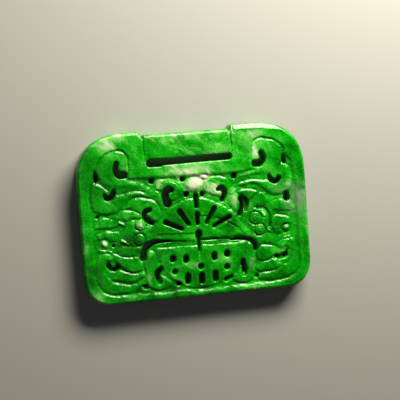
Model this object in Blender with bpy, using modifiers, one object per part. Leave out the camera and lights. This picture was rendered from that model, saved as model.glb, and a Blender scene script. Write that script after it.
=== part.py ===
"""Carved jade lock pendant: one pierced slab, lying on its back.

Origin at the middle of the underside of the bounding box, +X to the right, +Y
towards the bar that a cord hangs it by, +Z out of the carved face. Every (x, y)
in the layout below is in millimetres, x from the middle line and y up from the
lower edge, and placed() carries it to the origin.

The slab is made the way a carver makes it. Its outline is cut, the bar is
stepped down between two nicks, the ground inside the rim is sunk, chamfered
plates and bosses are left standing on that ground, and then the lines are cut,
the pits are sunk and the openings are pierced.
"""

import math

import bmesh
import bpy
from mathutils import Vector

MM = 0.001

# Driving dimensions, in millimetres.
WIDTH = 50.0
HEIGHT = 36.5
THICKNESS = 4.2
GROUND = 3.55
EDGE_ROUND = 0.55
BAR_TOP = 35.7
BAR_LEFT = -10.0
BAR_RIGHT = 8.5
NICK_WIDTH = 0.9  # from the bar's end to the lip beside it
NICK_DEPTH = 0.5
LIP_DROP = 0.2  # how far a lip stands below the top
LIP_RUN = 0.25  # how far the cut spreads above a lip
CHAMFER_RUN = 0.16  # how far a plate's top is set in from its outline
CHAMFER_DROP = 0.26  # how far the chamfer comes down from the top
ROOT_DEPTH = 0.5  # how far standing shapes reach down into the slab
CUT_MARGIN = 1.0  # how far a cutter runs past the faces it cuts
STROKE_CLEARANCE = 0.96  # share of its half width that a stroke's sides keep from its middle line
MERGE = 0.001  # points closer than this become one
EDGE_ANGLE = 60.0  # degrees between two faces from which their edge is rounded

# Each corner is a quarter of a superellipse: reach along X, reach along Y, power.
TOP_CORNER = (12.0, 11.5, 2.6)
BOTTOM_CORNER = (5.8, 6.2, 2.2)

# The medallion, by the same rule: an arched dome over a bowl.
MIDDLE = 0.3
DOME_BASE = 12.5
DOME_RIGHT = (10.6, 8.95, 1.7)
DOME_LEFT = (9.9, 8.95, 2.05)
DOME_LEVEL = 4.0
PANEL_CORNER = (0.95, 12.3)
PANEL_ARCH = (9.6, 5.15, 1.5)
PANEL_LEVEL = 4.09
BEAM = [(-9.0, 12.2), (-0.4, 12.0), (-0.4, 13.75), (-4.5, 13.95), (-9.0, 14.2)]
BEAM_LEVEL = 4.09
BOWL_LEFT_TOP = 11.4
BOWL_RIGHT_TOP = 10.95
BOWL_LEFT = (9.7, 9.75, 2.0)
BOWL_RIGHT = (10.3, 9.3, 1.95)
BOWL_LEVEL = 4.1

# How finely curved things are divided.
CORNER_STEPS = 7
SPLINE_STEPS = 2
CAP_STEPS = 2
EDGE_STEPS = 2
HOLE_SIDES = 10
DOME_SEGMENTS = 12
DOME_RINGS = 5

JADE_GREEN = (0.02, 0.42, 0.03, 1.0)
JADE_ROUGHNESS = 0.18

# The inner edge of the rim and of the plain panel round the cord slot, a closed
# smooth line. Round the two top curls it runs under them.
FIELD = [
    (-20.9, 2.7), (-19.2, 2.1), (-16.5, 1.85), (-13.2, 2.0), (-11.6, 1.85), (-9.5, 1.65),
    (-7.0, 1.6), (-5.4, 2.0), (-4.0, 1.75), (-2.6, 1.85), (-1.0, 1.45), (3.0, 1.35),
    (5.3, 1.5), (6.6, 1.85), (8.0, 1.5), (10.6, 1.45), (12.1, 1.85), (14.0, 1.65),
    (17.0, 1.7), (19.2, 1.95), (20.8, 2.45), (22.0, 3.9), (22.5, 6.2), (22.6, 12.0),
    (22.5, 18.0), (22.6, 23.0), (22.2, 26.6), (21.3, 28.6), (20.2, 29.6), (19.0, 28.6),
    (16.6, 27.4), (14.2, 26.9), (12.2, 26.45), (9.0, 26.15), (4.0, 26.15), (-4.0, 26.3),
    (-9.0, 26.5), (-13.0, 26.65), (-15.6, 27.2), (-18.2, 27.6), (-20.2, 28.9),
    (-21.2, 29.2), (-22.0, 27.4), (-22.5, 24.5), (-22.6, 17.0), (-22.6, 10.0),
    (-22.4, 5.6), (-21.9, 3.9),
]

# Openings: (x, y, width) along each. A single entry is a round hole.
STRAIGHT_OPENINGS = {
    "cord_slot": [
        (-9.1, 29.65, 1.75), (-6.9, 29.6, 1.75), (-6.4, 29.7, 1.5), (8.2, 29.75, 1.4),
    ],
    "crown_slot": [(0.3, 21.9, 1.0), (0.3, 19.6, 1.0)],
    "ray_far_left": [(-3.3, 15.0, 0.9), (-6.7, 16.7, 1.1)],
    "ray_left": [(-1.7, 15.9, 0.9), (-3.5, 18.8, 1.15)],
    "ray_middle": [(0.3, 15.9, 0.9), (0.3, 17.9, 1.1)],
    "ray_right": [(2.3, 15.9, 0.9), (4.1, 18.8, 1.15)],
    "ray_far_right": [(3.9, 15.0, 0.9), (7.3, 16.7, 1.1)],
    "keyhole": [(0.3, 13.7, 1.5), (0.3, 13.3, 1.5), (0.3, 12.6, 0.8), (0.3, 10.1, 0.65)],
    "bowl_left_outer": [(-5.7, 8.8, 1.45), (-5.7, 8.65, 1.45)],
    "bowl_left_inner": [(-2.85, 8.75, 1.3), (-2.85, 8.1, 1.3)],
    "bowl_right_inner": [(3.45, 8.75, 1.3), (3.45, 8.1, 1.3)],
    "bowl_right_outer": [(6.3, 8.8, 1.45), (6.3, 8.65, 1.45)],
    "bowl_lower_left": [(-2.75, 4.7, 1.3), (-2.75, 3.5, 1.3)],
    "bowl_lower_middle": [(0.3, 4.5, 1.25), (0.3, 3.3, 1.25)],
    "bowl_lower_right": [(3.35, 4.7, 1.3), (3.35, 3.5, 1.3)],
    "pit_left": [(-5.0, 3.35, 0.9), (-4.6, 3.15, 0.75)],
    "pit_right": [(5.4, 3.15, 0.5), (6.2, 3.4, 0.6)],
    "valley_left": [(-12.3, 3.3, 0.5), (-11.9, 3.5, 0.65)],
    "valley_right": [(12.5, 3.25, 0.5), (12.8, 3.25, 0.4)],
    "bead_hole_left": [(-9.1, 25.8, 1.25)],
    "bead_hole_right": [(9.0, 25.45, 1.25)],
    "pearl_hole_upper": [(-2.3, 25.7, 1.25)],
    "pearl_hole_left": [(-1.75, 22.35, 1.25)],
    "pearl_hole_right": [(1.8, 22.15, 1.2)],
    "nape_hole": [(-18.3, 12.7, 0.6)],
}
CURVED_OPENINGS = {
    "curl_left": [
        (-16.35, 30.1, 1.1), (-16.6, 28.8, 1.25), (-16.0, 27.65, 1.55), (-14.8, 27.55, 1.5),
    ],
    "curl_right": [
        (15.4, 29.9, 1.25), (15.75, 28.9, 1.4), (15.1, 27.8, 1.65), (13.9, 27.75, 1.5),
    ],
    "eyelet_left": [(-21.1, 28.6, 0.45), (-20.95, 27.6, 0.95), (-21.0, 26.8, 0.8)],
    "eyelet_right": [(20.2, 29.0, 0.4), (20.3, 28.2, 0.95), (20.55, 27.6, 0.85)],
    "crescent_left": [
        (-17.35, 24.15, 1.0), (-17.9, 23.2, 1.3), (-18.9, 22.9, 1.1), (-19.4, 23.6, 0.8),
    ],
    "crescent_right": [
        (16.9, 24.7, 0.9), (17.3, 23.9, 1.15), (18.35, 23.5, 1.15), (19.0, 24.2, 1.1),
    ],
    "comma_left": [
        (-4.95, 23.5, 1.1), (-5.6, 23.7, 1.4), (-6.3, 22.8, 1.45),
        (-6.3, 21.6, 1.5), (-5.9, 20.7, 1.75),
    ],
    "comma_right": [
        (5.25, 22.85, 0.95), (6.0, 23.05, 1.3), (6.65, 22.3, 1.25),
        (6.5, 21.3, 1.2), (6.1, 20.6, 1.25),
    ],
    "hook_left": [
        (-10.0, 19.7, 1.05), (-10.9, 19.4, 1.2), (-11.15, 18.5, 1.15),
        (-10.4, 17.4, 1.15), (-9.6, 16.8, 0.9),
    ],
    "hook_right": [
        (10.1, 20.4, 1.15), (10.4, 19.4, 1.0), (10.2, 18.2, 1.15), (9.75, 17.1, 1.05),
    ],
    "drop_right": [(20.45, 20.5, 1.3), (20.5, 19.7, 1.55)],
    "leg_left": [
        (-12.1, 9.5, 1.4), (-11.8, 10.9, 1.35), (-10.8, 12.1, 1.5),
        (-9.4, 12.7, 1.1), (-7.6, 12.7, 0.7), (-6.0, 12.6, 0.45),
    ],
    "leg_right": [
        (7.3, 11.7, 0.4), (9.3, 11.75, 0.75), (11.2, 11.5, 1.0),
        (12.45, 10.6, 1.15), (12.75, 9.2, 0.95),
    ],
    "foot_comma_left": [(-8.6, 6.8, 1.15), (-9.3, 6.0, 1.4), (-9.3, 4.8, 0.95)],
    "foot_comma_right": [(9.7, 6.75, 1.15), (9.7, 6.1, 1.15), (10.0, 5.2, 1.0), (9.9, 4.6, 0.85)],
    "heart_left": [(-18.45, 7.6, 0.85), (-17.75, 8.15, 1.1)],
    "heart_right": [(17.2, 7.15, 0.9), (17.9, 6.9, 0.75)],
    "slit_right": [(19.75, 8.2, 0.4), (19.55, 7.3, 0.5), (19.1, 6.8, 0.45)],
}

# Plates left standing: level of the top, and a closed smooth outline.
PLATES = {
    "neck_right": (4.02, [
        (7.3, 22.8), (8.6, 23.1), (9.8, 22.3), (9.7, 20.6), (9.3, 18.9), (9.1, 17.6),
        (8.3, 18.3), (7.5, 19.6), (7.0, 21.0),
    ]),
    "cloud_left": (4.08, [
        (-8.3, 23.9), (-7.9, 25.2), (-7.0, 25.95), (-5.6, 26.05), (-4.2, 25.75), (-3.1, 25.1),
        (-2.5, 24.1), (-2.5, 22.9), (-2.9, 21.9), (-3.9, 21.35), (-5.0, 21.1), (-5.9, 21.8),
        (-6.7, 22.6), (-7.3, 23.4),
    ]),
    "cloud_right": (4.1, [
        (2.15, 24.6), (2.6, 25.3), (3.7, 25.65), (5.3, 25.75), (6.8, 25.4), (7.9, 24.6),
        (8.2, 23.4), (7.6, 22.6), (6.6, 21.6), (5.6, 21.0), (4.4, 21.35), (3.1, 22.0),
        (2.2, 22.8), (2.0, 23.7),
    ]),
    "feather_left_3": (4.0, [
        (-15.9, 20.1), (-15.0, 21.2), (-13.6, 22.2), (-11.8, 22.6), (-10.2, 22.3),
        (-8.8, 21.6), (-7.8, 20.4), (-7.35, 18.8), (-7.8, 17.4), (-8.8, 16.7), (-9.8, 17.0),
        (-10.6, 18.0), (-11.8, 18.4), (-12.6, 19.0), (-14.2, 19.8),
    ]),
    "feather_left_2": (4.07, [
        (-9.0, 22.3), (-9.8, 23.0), (-11.0, 23.65), (-12.6, 24.0), (-14.4, 23.85),
        (-16.0, 23.5), (-17.4, 23.6), (-18.4, 24.4), (-19.3, 25.3), (-20.4, 26.2),
        (-21.5, 26.2), (-22.3, 25.3), (-22.6, 23.5), (-22.5, 21.5), (-21.9, 20.1),
        (-20.8, 19.4), (-18.8, 19.2), (-16.9, 19.5), (-15.8, 20.5), (-14.9, 21.6),
        (-13.6, 22.45), (-12.0, 22.65), (-10.2, 22.1),
    ]),
    "feather_left_1": (4.14, [
        (-8.2, 22.3), (-8.9, 23.7), (-10.2, 25.0), (-11.8, 25.9), (-13.4, 26.35),
        (-14.3, 26.8), (-13.95, 28.2), (-13.85, 29.8), (-13.95, 31.4), (-14.6, 32.4),
        (-15.8, 32.85), (-17.4, 32.7), (-19.0, 31.9), (-20.3, 30.5), (-20.8, 28.9),
        (-20.5, 27.2), (-19.7, 25.9), (-18.6, 25.1), (-17.2, 24.8), (-15.4, 24.75),
        (-13.6, 24.6), (-12.0, 24.15), (-10.6, 23.4), (-9.3, 22.5),
    ]),
    "feather_right_3": (4.0, [
        (9.3, 22.0), (10.8, 22.45), (12.6, 22.3), (14.1, 21.6), (13.6, 20.7), (12.4, 19.9),
        (11.4, 19.8), (10.7, 20.9), (9.8, 21.4),
    ]),
    "feather_right_2": (4.07, [
        (9.4, 23.4), (10.7, 24.05), (12.3, 24.4), (13.9, 24.35), (15.5, 23.95), (17.0, 24.0),
        (18.2, 24.7), (18.7, 25.6), (18.9, 26.6), (19.8, 27.25), (20.9, 27.0), (21.8, 25.9),
        (22.1, 24.2), (21.9, 22.5), (21.3, 21.2), (20.2, 20.55), (18.8, 20.25), (17.4, 20.4),
        (16.1, 21.2), (15.0, 22.2), (13.7, 22.95), (12.0, 23.15), (10.6, 22.95),
    ]),
    "feather_right_1": (4.14, [
        (9.6, 24.9), (10.7, 25.75), (12.2, 26.2), (13.6, 26.6), (13.1, 27.9), (13.15, 29.6),
        (13.2, 31.4), (13.9, 32.7), (15.3, 33.15), (17.0, 33.0), (18.8, 32.3), (20.0, 31.1),
        (20.4, 29.8), (20.0, 28.3), (19.2, 27.0), (18.2, 25.9), (17.0, 25.2), (15.2, 25.1),
        (13.2, 25.15), (11.4, 24.9),
    ]),
    "back_left": (4.0, [
        (-22.0, 17.4), (-21.4, 18.3), (-20.2, 18.9), (-18.9, 18.75), (-17.9, 18.5),
        (-17.0, 19.0), (-16.8, 17.9), (-16.8, 16.7), (-17.9, 16.3), (-19.6, 16.3),
        (-21.2, 16.3), (-22.1, 16.5),
    ]),
    "haunch_left": (4.08, [
        (-21.6, 15.2), (-20.7, 15.75), (-19.6, 16.05), (-18.3, 15.9), (-16.8, 15.75),
        (-16.6, 14.9), (-17.2, 13.9), (-18.2, 13.4), (-19.3, 13.6), (-20.2, 14.0),
        (-21.4, 14.1),
    ]),
    "head_left": (4.04, [
        (-15.8, 15.6), (-15.2, 16.9), (-14.1, 17.8), (-12.8, 17.9), (-11.7, 17.4),
        (-10.9, 16.5), (-9.8, 16.0), (-9.5, 15.2), (-10.2, 14.2), (-11.0, 13.0),
        (-12.1, 12.1), (-13.8, 12.1), (-15.0, 12.8), (-15.8, 14.0),
    ]),
    "brow_left": (4.11, [
        (-15.9, 19.9), (-14.9, 20.15), (-13.4, 19.8), (-12.1, 18.95), (-11.8, 18.2),
        (-12.9, 17.9), (-14.1, 18.1), (-15.0, 17.6), (-15.8, 17.8), (-16.1, 18.7),
    ]),
    "back_right": (4.0, [
        (16.6, 19.1), (18.2, 19.55), (19.9, 19.5), (21.2, 18.9), (22.2, 17.6), (21.9, 16.8),
        (20.4, 16.7), (18.6, 16.8), (17.2, 17.1), (16.6, 18.0),
    ]),
    "haunch_right": (4.08, [
        (16.8, 15.6), (17.8, 16.3), (19.1, 16.1), (20.5, 15.45), (20.9, 14.7), (20.6, 13.5),
        (19.9, 12.3), (18.8, 11.9), (17.6, 12.0), (16.8, 12.9), (16.5, 14.2),
    ]),
    "head_right": (4.04, [
        (11.4, 15.5), (11.9, 17.2), (13.0, 18.1), (14.4, 18.0), (15.4, 17.4), (16.0, 16.0),
        (16.0, 14.4), (15.6, 13.2), (14.9, 12.3), (13.9, 11.8), (12.9, 12.3), (11.8, 13.6),
    ]),
    "ear_right": (4.1, [
        (12.9, 20.1), (13.8, 21.1), (14.8, 21.45), (15.9, 20.9), (16.5, 19.9), (16.2, 18.8),
        (15.2, 18.2), (13.8, 18.3), (13.0, 18.9),
    ]),
    "plume_left_1": (3.95, [
        (-18.2, 11.6), (-17.2, 12.3), (-16.0, 12.6), (-14.8, 12.3), (-13.7, 12.0),
        (-13.1, 11.2), (-13.2, 10.1), (-14.4, 9.7), (-16.0, 9.8), (-17.3, 10.5),
    ]),
    "plume_left_2": (4.01, [
        (-18.9, 11.1), (-17.8, 10.9), (-16.7, 10.3), (-15.2, 9.95), (-13.4, 9.9),
        (-12.6, 9.0), (-11.9, 8.2), (-11.8, 7.3), (-12.9, 6.7), (-14.3, 6.5), (-15.6, 6.8),
        (-16.8, 7.6), (-17.6, 8.5), (-18.4, 9.6),
    ]),
    "plume_left_3": (4.07, [
        (-19.2, 5.8), (-18.3, 6.6), (-17.4, 7.35), (-16.2, 7.0), (-14.8, 6.4), (-13.3, 6.4),
        (-11.9, 6.6), (-11.9, 5.6), (-13.0, 4.8), (-14.4, 4.3), (-16.0, 4.4), (-17.6, 4.8),
        (-18.8, 5.2),
    ]),
    "plume_left_4": (4.13, [
        (-12.4, 5.0), (-13.9, 4.2), (-15.5, 4.0), (-17.3, 4.45), (-18.9, 5.05),
        (-19.6, 5.8), (-20.4, 6.9), (-20.7, 8.2), (-20.2, 9.3), (-19.1, 9.3), (-18.5, 10.2),
        (-19.3, 11.1), (-20.7, 11.2), (-21.8, 10.5), (-22.4, 9.0), (-22.5, 6.8),
        (-22.2, 4.8), (-21.3, 3.3), (-19.9, 2.4), (-17.8, 2.0), (-15.4, 2.1), (-13.6, 2.6),
        (-12.6, 3.6),
    ]),
    "plume_right_1": (3.95, [
        (13.3, 10.9), (14.0, 11.6), (15.0, 12.2), (16.2, 12.4), (17.2, 11.5), (17.9, 10.6),
        (17.9, 9.5), (16.9, 9.2), (15.3, 9.5), (14.1, 9.7), (13.4, 10.0),
    ]),
    "plume_right_2": (4.01, [
        (12.2, 8.2), (12.9, 8.8), (13.7, 9.7), (14.7, 9.95), (16.0, 9.7), (17.2, 9.2),
        (17.3, 8.2), (16.8, 7.3), (15.9, 6.6), (14.6, 6.2), (13.4, 6.4), (12.5, 7.0),
    ]),
    "plume_right_3": (4.07, [
        (12.4, 4.8), (13.1, 5.7), (14.2, 6.1), (15.5, 6.35), (16.5, 6.7), (17.6, 6.1),
        (18.4, 5.4), (18.2, 4.5), (17.2, 4.1), (15.6, 3.9), (14.2, 3.9), (13.0, 4.0),
    ]),
    "plume_right_4": (4.13, [
        (12.5, 3.1), (13.8, 3.7), (15.6, 3.9), (17.3, 4.2), (18.5, 4.95), (19.8, 5.65),
        (20.6, 6.6), (20.5, 8.0), (19.7, 8.9), (18.4, 8.7), (17.7, 9.6), (18.6, 10.5),
        (20.0, 10.95), (21.4, 10.7), (22.2, 9.3), (22.4, 7.0), (22.3, 4.8), (21.5, 3.3),
        (19.9, 2.3), (17.6, 1.85), (15.3, 1.75), (13.5, 2.1),
    ]),
    "foot_left": (4.04, [
        (-11.5, 10.2), (-10.5, 11.1), (-9.4, 10.4), (-9.0, 8.8), (-8.3, 7.5), (-8.2, 6.2),
        (-8.6, 5.6), (-7.6, 5.0), (-6.5, 4.1), (-6.2, 3.2), (-7.0, 2.4), (-8.5, 1.95),
        (-10.1, 2.1), (-11.3, 2.9), (-11.8, 4.3), (-11.9, 6.2), (-12.2, 7.6), (-12.0, 9.0),
    ]),
    "foot_right": (4.04, [
        (10.6, 10.3), (11.5, 10.8), (12.3, 10.0), (12.5, 8.4), (12.7, 6.8), (12.3, 5.2),
        (12.3, 3.9), (11.9, 2.8), (10.9, 2.0), (9.5, 1.8), (8.1, 2.0), (7.1, 2.8), (7.3, 3.9),
        (8.3, 4.8), (8.9, 5.9), (9.5, 7.2), (10.2, 8.2), (10.3, 9.3),
    ]),
}

# Narrow bands left standing: level of the top, and (x, y, width) along each.
BANDS = {
    "neck_left": (4.02, [(-8.3, 23.2, 0.9), (-7.6, 21.5, 1.5), (-7.7, 19.3, 1.9), (-8.5, 17.9, 1.3)]),
    "coil_left": (3.96, [(-21.9, 13.6, 0.6), (-21.8, 12.4, 0.9), (-20.7, 11.7, 0.9), (-19.3, 11.5, 0.9)]),
}

# Round bosses: x, y, half length, half width, level of the middle, rise over it.
BOSSES = {
    "pearl": (0.05, 24.2, 2.0, 1.8, 3.5, 0.68),
    "knob": (2.35, 25.7, 0.85, 0.7, 3.5, 0.6),
    "bead_left": (-20.15, 13.15, 0.95, 0.92, 3.5, 0.66),
    "bead_right": (19.9, 13.1, 0.85, 0.85, 3.7, 0.47),
    "eye_1": (-12.2, 16.6, 1.1, 1.1, 3.9, 0.26),
    "eye_2": (-12.65, 13.55, 1.15, 1.15, 3.9, 0.26),
    "eye_3": (13.1, 15.85, 1.25, 1.25, 3.9, 0.26),
    "eye_4": (14.0, 13.25, 1.1, 1.1, 3.9, 0.26),
}

# Lines and pits that don't go through: level of the floor, and (x, y, width) along each.
PITS = {
    "curl_line_left": (3.97, [
        (-13.95, 27.6, 0.3), (-13.8, 29.8, 0.3), (-13.95, 31.4, 0.3), (-14.6, 32.5, 0.3),
        (-15.8, 32.95, 0.3), (-17.4, 32.8, 0.3), (-19.0, 32.0, 0.3), (-20.3, 30.7, 0.3),
    ]),
    "curl_line_right": (3.97, [
        (13.1, 28.8, 0.3), (13.15, 31.4, 0.3), (13.8, 32.8, 0.3), (15.3, 33.25, 0.3),
        (17.0, 33.1, 0.3), (18.8, 32.4, 0.3), (20.0, 31.2, 0.3),
    ]),
    "nape_line_right": (3.7, [
        (13.7, 18.0, 0.5), (15.4, 17.8, 0.6), (16.3, 16.4, 0.6), (16.35, 14.6, 0.5),
        (16.0, 13.2, 0.4),
    ]),
    "seam": (3.8, [(0.3, 9.6, 0.4), (0.3, 7.9, 0.35)]),
    "bar_dash": (3.5, [(1.2, 12.3, 0.6), (3.9, 12.25, 0.6)]),
    "bowl_pit_1": (2.8, [(-5.45, 5.85, 1.35)]),
    "bowl_pit_2": (2.8, [(0.3, 6.5, 1.35)]),
    "bowl_pit_3": (2.8, [(6.05, 5.85, 1.35)]),
    "heart_pit_left": (2.8, [(-19.7, 8.6, 1.0), (-19.1, 7.9, 1.0)]),
    "heart_pit_right": (3.2, [(18.3, 6.8, 1.0), (19.3, 7.2, 1.3)]),
    "foot_pit_left": (3.1, [(-9.1, 4.4, 1.1), (-8.9, 3.9, 1.1)]),
    "foot_pit_right": (3.1, [(9.9, 4.5, 1.3), (9.85, 4.1, 1.3)]),
    "hook_pit_right": (3.2, [(11.2, 20.2, 0.6), (11.5, 19.2, 0.8), (11.2, 17.9, 0.6)]),
}


def clear_scene():
    """Removes whatever the file held before."""
    for thing in list(bpy.data.objects):
        bpy.data.objects.remove(thing)


def new_collection(name):
    """A collection linked into the scene."""
    collection = bpy.data.collections.new(name)
    bpy.context.scene.collection.children.link(collection)
    return collection


def jade_material():
    """Polished green jade."""
    material = bpy.data.materials.new("jade")
    material.use_nodes = True
    shader = material.node_tree.nodes["Principled BSDF"]
    shader.inputs["Base Color"].default_value = JADE_GREEN
    shader.inputs["Roughness"].default_value = JADE_ROUGHNESS
    shader.inputs["Metallic"].default_value = 0.0
    return material


def placed(x, y, level):
    """A layout point at a level above the back, in metres from the origin."""
    return Vector((x, y - HEIGHT / 2, level)) * MM


def spline(points, steps, closed=False):
    """Points on a smooth Catmull-Rom line through these, any number of values each."""
    knots = [Vector(point) for point in points]
    if len(knots) < 3:
        return knots
    if closed:
        padded = [knots[-1], *knots, knots[0], knots[1]]
    else:
        padded = [2 * knots[0] - knots[1], *knots, 2 * knots[-1] - knots[-2]]
    found = []
    for before, start, end, after in zip(padded, padded[1:], padded[2:], padded[3:]):
        for step in range(steps):
            t = step / steps
            found.append(0.5 * (
                2 * start
                + (end - before) * t
                + (2 * before - 5 * start + 4 * end - after) * t ** 2
                + (3 * start - before - 3 * end + after) * t ** 3
            ))
    return found if closed else [*found, knots[-1]]


def along(path, index):
    """Unit direction of a path of (x, y, width) at one of its points."""
    before = path[max(index - 1, 0)]
    after = path[min(index + 1, len(path) - 1)]
    return (after - before).to_2d().normalized()


def arc(centre, radius, start, sweep, steps):
    """Points strictly inside an arc, angles in radians."""
    turns = [start + sweep * step / (steps + 1) for step in range(1, steps + 1)]
    return [centre + radius * Vector((math.cos(a), math.sin(a))) for a in turns]


def circle(x, y, diameter):
    """Outline of a drilled hole."""
    turns = [2 * math.pi * side / HOLE_SIDES for side in range(HOLE_SIDES)]
    centre = Vector((x, y))
    return [centre + diameter / 2 * Vector((math.cos(a), math.sin(a))) for a in turns]


def stroke_outline(path):
    """Outline of a stroke of changing width with round ends, anticlockwise."""
    if len(path) == 1:
        return circle(*path[0])
    left, right = [], []
    for index, point in enumerate(path):
        direction = along(path, index)
        aside = Vector((-direction.y, direction.x)) * point.z / 2
        for side, offset in ((left, aside), (right, -aside)):
            spot = point.to_2d() + offset
            clear = all(
                (spot - other.to_2d()).length > STROKE_CLEARANCE * other.z / 2 for other in path
            )
            if clear:
                side.append(spot)
    first, last = along(path, 0), along(path, len(path) - 1)
    end_cap = arc(
        path[-1].to_2d(), path[-1].z / 2, math.atan2(last.y, last.x) - math.pi / 2,
        math.pi, CAP_STEPS,
    )
    start_cap = arc(
        path[0].to_2d(), path[0].z / 2, math.atan2(first.y, first.x) + math.pi / 2,
        math.pi, CAP_STEPS,
    )
    return [*right, *end_cap, *reversed(left), *start_cap]


def stroke(points):
    """Outline of a smooth stroke through (x, y, width) points."""
    return stroke_outline(spline(points, SPLINE_STEPS))


def corner(centre_x, centre_y, shape, quadrant):
    """A quarter superellipse; quadrant 0 runs from +X round to +Y."""
    reach_x, reach_y, power = shape
    points = []
    for step in range(CORNER_STEPS + 1):
        angle = (quadrant + step / CORNER_STEPS) * math.pi / 2
        cosine, sine = math.cos(angle), math.sin(angle)
        points.append(Vector((
            centre_x + reach_x * math.copysign(abs(cosine) ** (2 / power), cosine),
            centre_y + reach_y * math.copysign(abs(sine) ** (2 / power), sine),
        )))
    return points


def slab_outline():
    """The plaque's silhouette before the bar is stepped down."""
    top_x, top_y = WIDTH / 2 - TOP_CORNER[0], HEIGHT - TOP_CORNER[1]
    low_x, low_y = WIDTH / 2 - BOTTOM_CORNER[0], BOTTOM_CORNER[1]
    return [
        *corner(top_x, top_y, TOP_CORNER, 0),
        *corner(-top_x, top_y, TOP_CORNER, 1),
        *corner(-low_x, low_y, BOTTOM_CORNER, 2),
        *corner(low_x, low_y, BOTTOM_CORNER, 3),
    ]


def bar_step_outline():
    """What is cut away above the bar, with a nick running down at each end."""
    over = HEIGHT + CUT_MARGIN
    lip = HEIGHT - LIP_DROP
    low = BAR_TOP - NICK_DEPTH
    return [Vector(point) for point in (
        (BAR_LEFT - NICK_WIDTH - LIP_RUN, over),
        (BAR_LEFT - NICK_WIDTH, lip),
        (BAR_LEFT - NICK_WIDTH / 3, low),
        (BAR_LEFT, BAR_TOP),
        (BAR_RIGHT, BAR_TOP),
        (BAR_RIGHT + NICK_WIDTH / 3, low),
        (BAR_RIGHT + NICK_WIDTH, lip),
        (BAR_RIGHT + NICK_WIDTH + LIP_RUN, over),
    )]


def mesh_object(name, mesh, collection):
    """An object for a mesh, in a collection."""
    made = bpy.data.objects.new(name, mesh)
    collection.objects.link(made)
    return made


def prism(name, outlines, low, high, collection):
    """Outlines in millimetres raised from one level to another, as one mesh."""
    curve = bpy.data.curves.new(name, "CURVE")
    curve.dimensions = "2D"
    curve.fill_mode = "BOTH"
    curve.extrude = (high - low) / 2 * MM
    for outline in outlines:
        line = curve.splines.new("POLY")
        line.points.add(len(outline) - 1)
        line.use_cyclic_u = True
        for knot, point in zip(line.points, outline):
            knot.co = (*placed(point.x, point.y, 0.0), 1.0)
    guide = mesh_object(name + "_guide", curve, collection)
    guide.location.z = (high + low) / 2 * MM
    bpy.context.view_layer.update()
    graph = bpy.context.evaluated_depsgraph_get()
    mesh = bpy.data.meshes.new_from_object(guide.evaluated_get(graph))
    mesh.transform(guide.matrix_world)
    bpy.data.objects.remove(guide)
    shape = bmesh.new()
    shape.from_mesh(mesh)
    bmesh.ops.remove_doubles(shape, verts=shape.verts, dist=MERGE * MM)
    bmesh.ops.recalc_face_normals(shape, faces=shape.faces)
    shape.to_mesh(mesh)
    shape.free()
    mesh.name = name
    return mesh_object(name, mesh, collection)


def plate(name, outline, level, collection):
    """A plate rooted in the slab, its top set in from its outline by a chamfer."""
    shape = bmesh.new()
    ring = [shape.verts.new(placed(point.x, point.y, GROUND - ROOT_DEPTH)) for point in outline]
    base = shape.faces.new(ring)
    base.normal_update()
    if base.normal.z < 0:
        base.normal_flip()
    raised = bmesh.ops.extrude_face_region(shape, geom=[base], use_keep_orig=True)["geom"]
    cap = next(item for item in raised if isinstance(item, bmesh.types.BMFace))
    bmesh.ops.translate(
        shape, verts=cap.verts, vec=(0.0, 0.0, (level - CHAMFER_DROP - GROUND + ROOT_DEPTH) * MM)
    )
    bmesh.ops.inset_region(
        shape, faces=[cap], thickness=CHAMFER_RUN * MM, use_even_offset=False, use_boundary=True
    )
    bmesh.ops.translate(shape, verts=cap.verts, vec=(0.0, 0.0, CHAMFER_DROP * MM))
    bmesh.ops.recalc_face_normals(shape, faces=shape.faces)
    bmesh.ops.triangulate(shape, faces=shape.faces)
    mesh = bpy.data.meshes.new(name)
    shape.to_mesh(mesh)
    shape.free()
    return mesh_object(name, mesh, collection)


def boss(name, place, collection):
    """A round or oval dome, its lower half inside the slab."""
    x, y, half_length, half_width, base, rise = place
    mesh = bpy.data.meshes.new(name)
    shape = bmesh.new()
    bmesh.ops.create_uvsphere(
        shape, u_segments=DOME_SEGMENTS, v_segments=DOME_RINGS, radius=MM
    )
    shape.to_mesh(mesh)
    shape.free()
    made = mesh_object(name, mesh, collection)
    made.scale = (half_length, half_width, rise)
    made.location = placed(x, y, base)
    return made


def boolean(target, operation, collection):
    """Joins or cuts the target with every object of a collection."""
    modifier = target.modifiers.new(operation.lower(), "BOOLEAN")
    modifier.operation = operation
    modifier.operand_type = "COLLECTION"
    modifier.collection = collection
    modifier.solver = "EXACT"


def hide_helpers(collection):
    """Keeps cutters and raw shapes out of the render."""
    for helper in collection.objects:
        helper.hide_render = True
        helper.display_type = "WIRE"
    collection.hide_render = True


def build_slab(collection):
    """The rounded slab that everything is carved from."""
    slab = prism("lock_pendant", [slab_outline()], 0.0, THICKNESS, collection)
    rounding = slab.modifiers.new("edge_round", "BEVEL")
    rounding.width = EDGE_ROUND * MM
    rounding.segments = EDGE_STEPS
    rounding.use_clamp_overlap = False
    rounding.limit_method = "ANGLE"
    rounding.angle_limit = math.radians(EDGE_ANGLE)
    return slab


def build_sinking(collection):
    """Cutters for the step over the bar and for the sunk ground."""
    high = THICKNESS + CUT_MARGIN
    prism("bar_step", [bar_step_outline()], -CUT_MARGIN, high, collection)
    prism("sunk_field", [spline(FIELD, SPLINE_STEPS, closed=True)], GROUND, high, collection)


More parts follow.
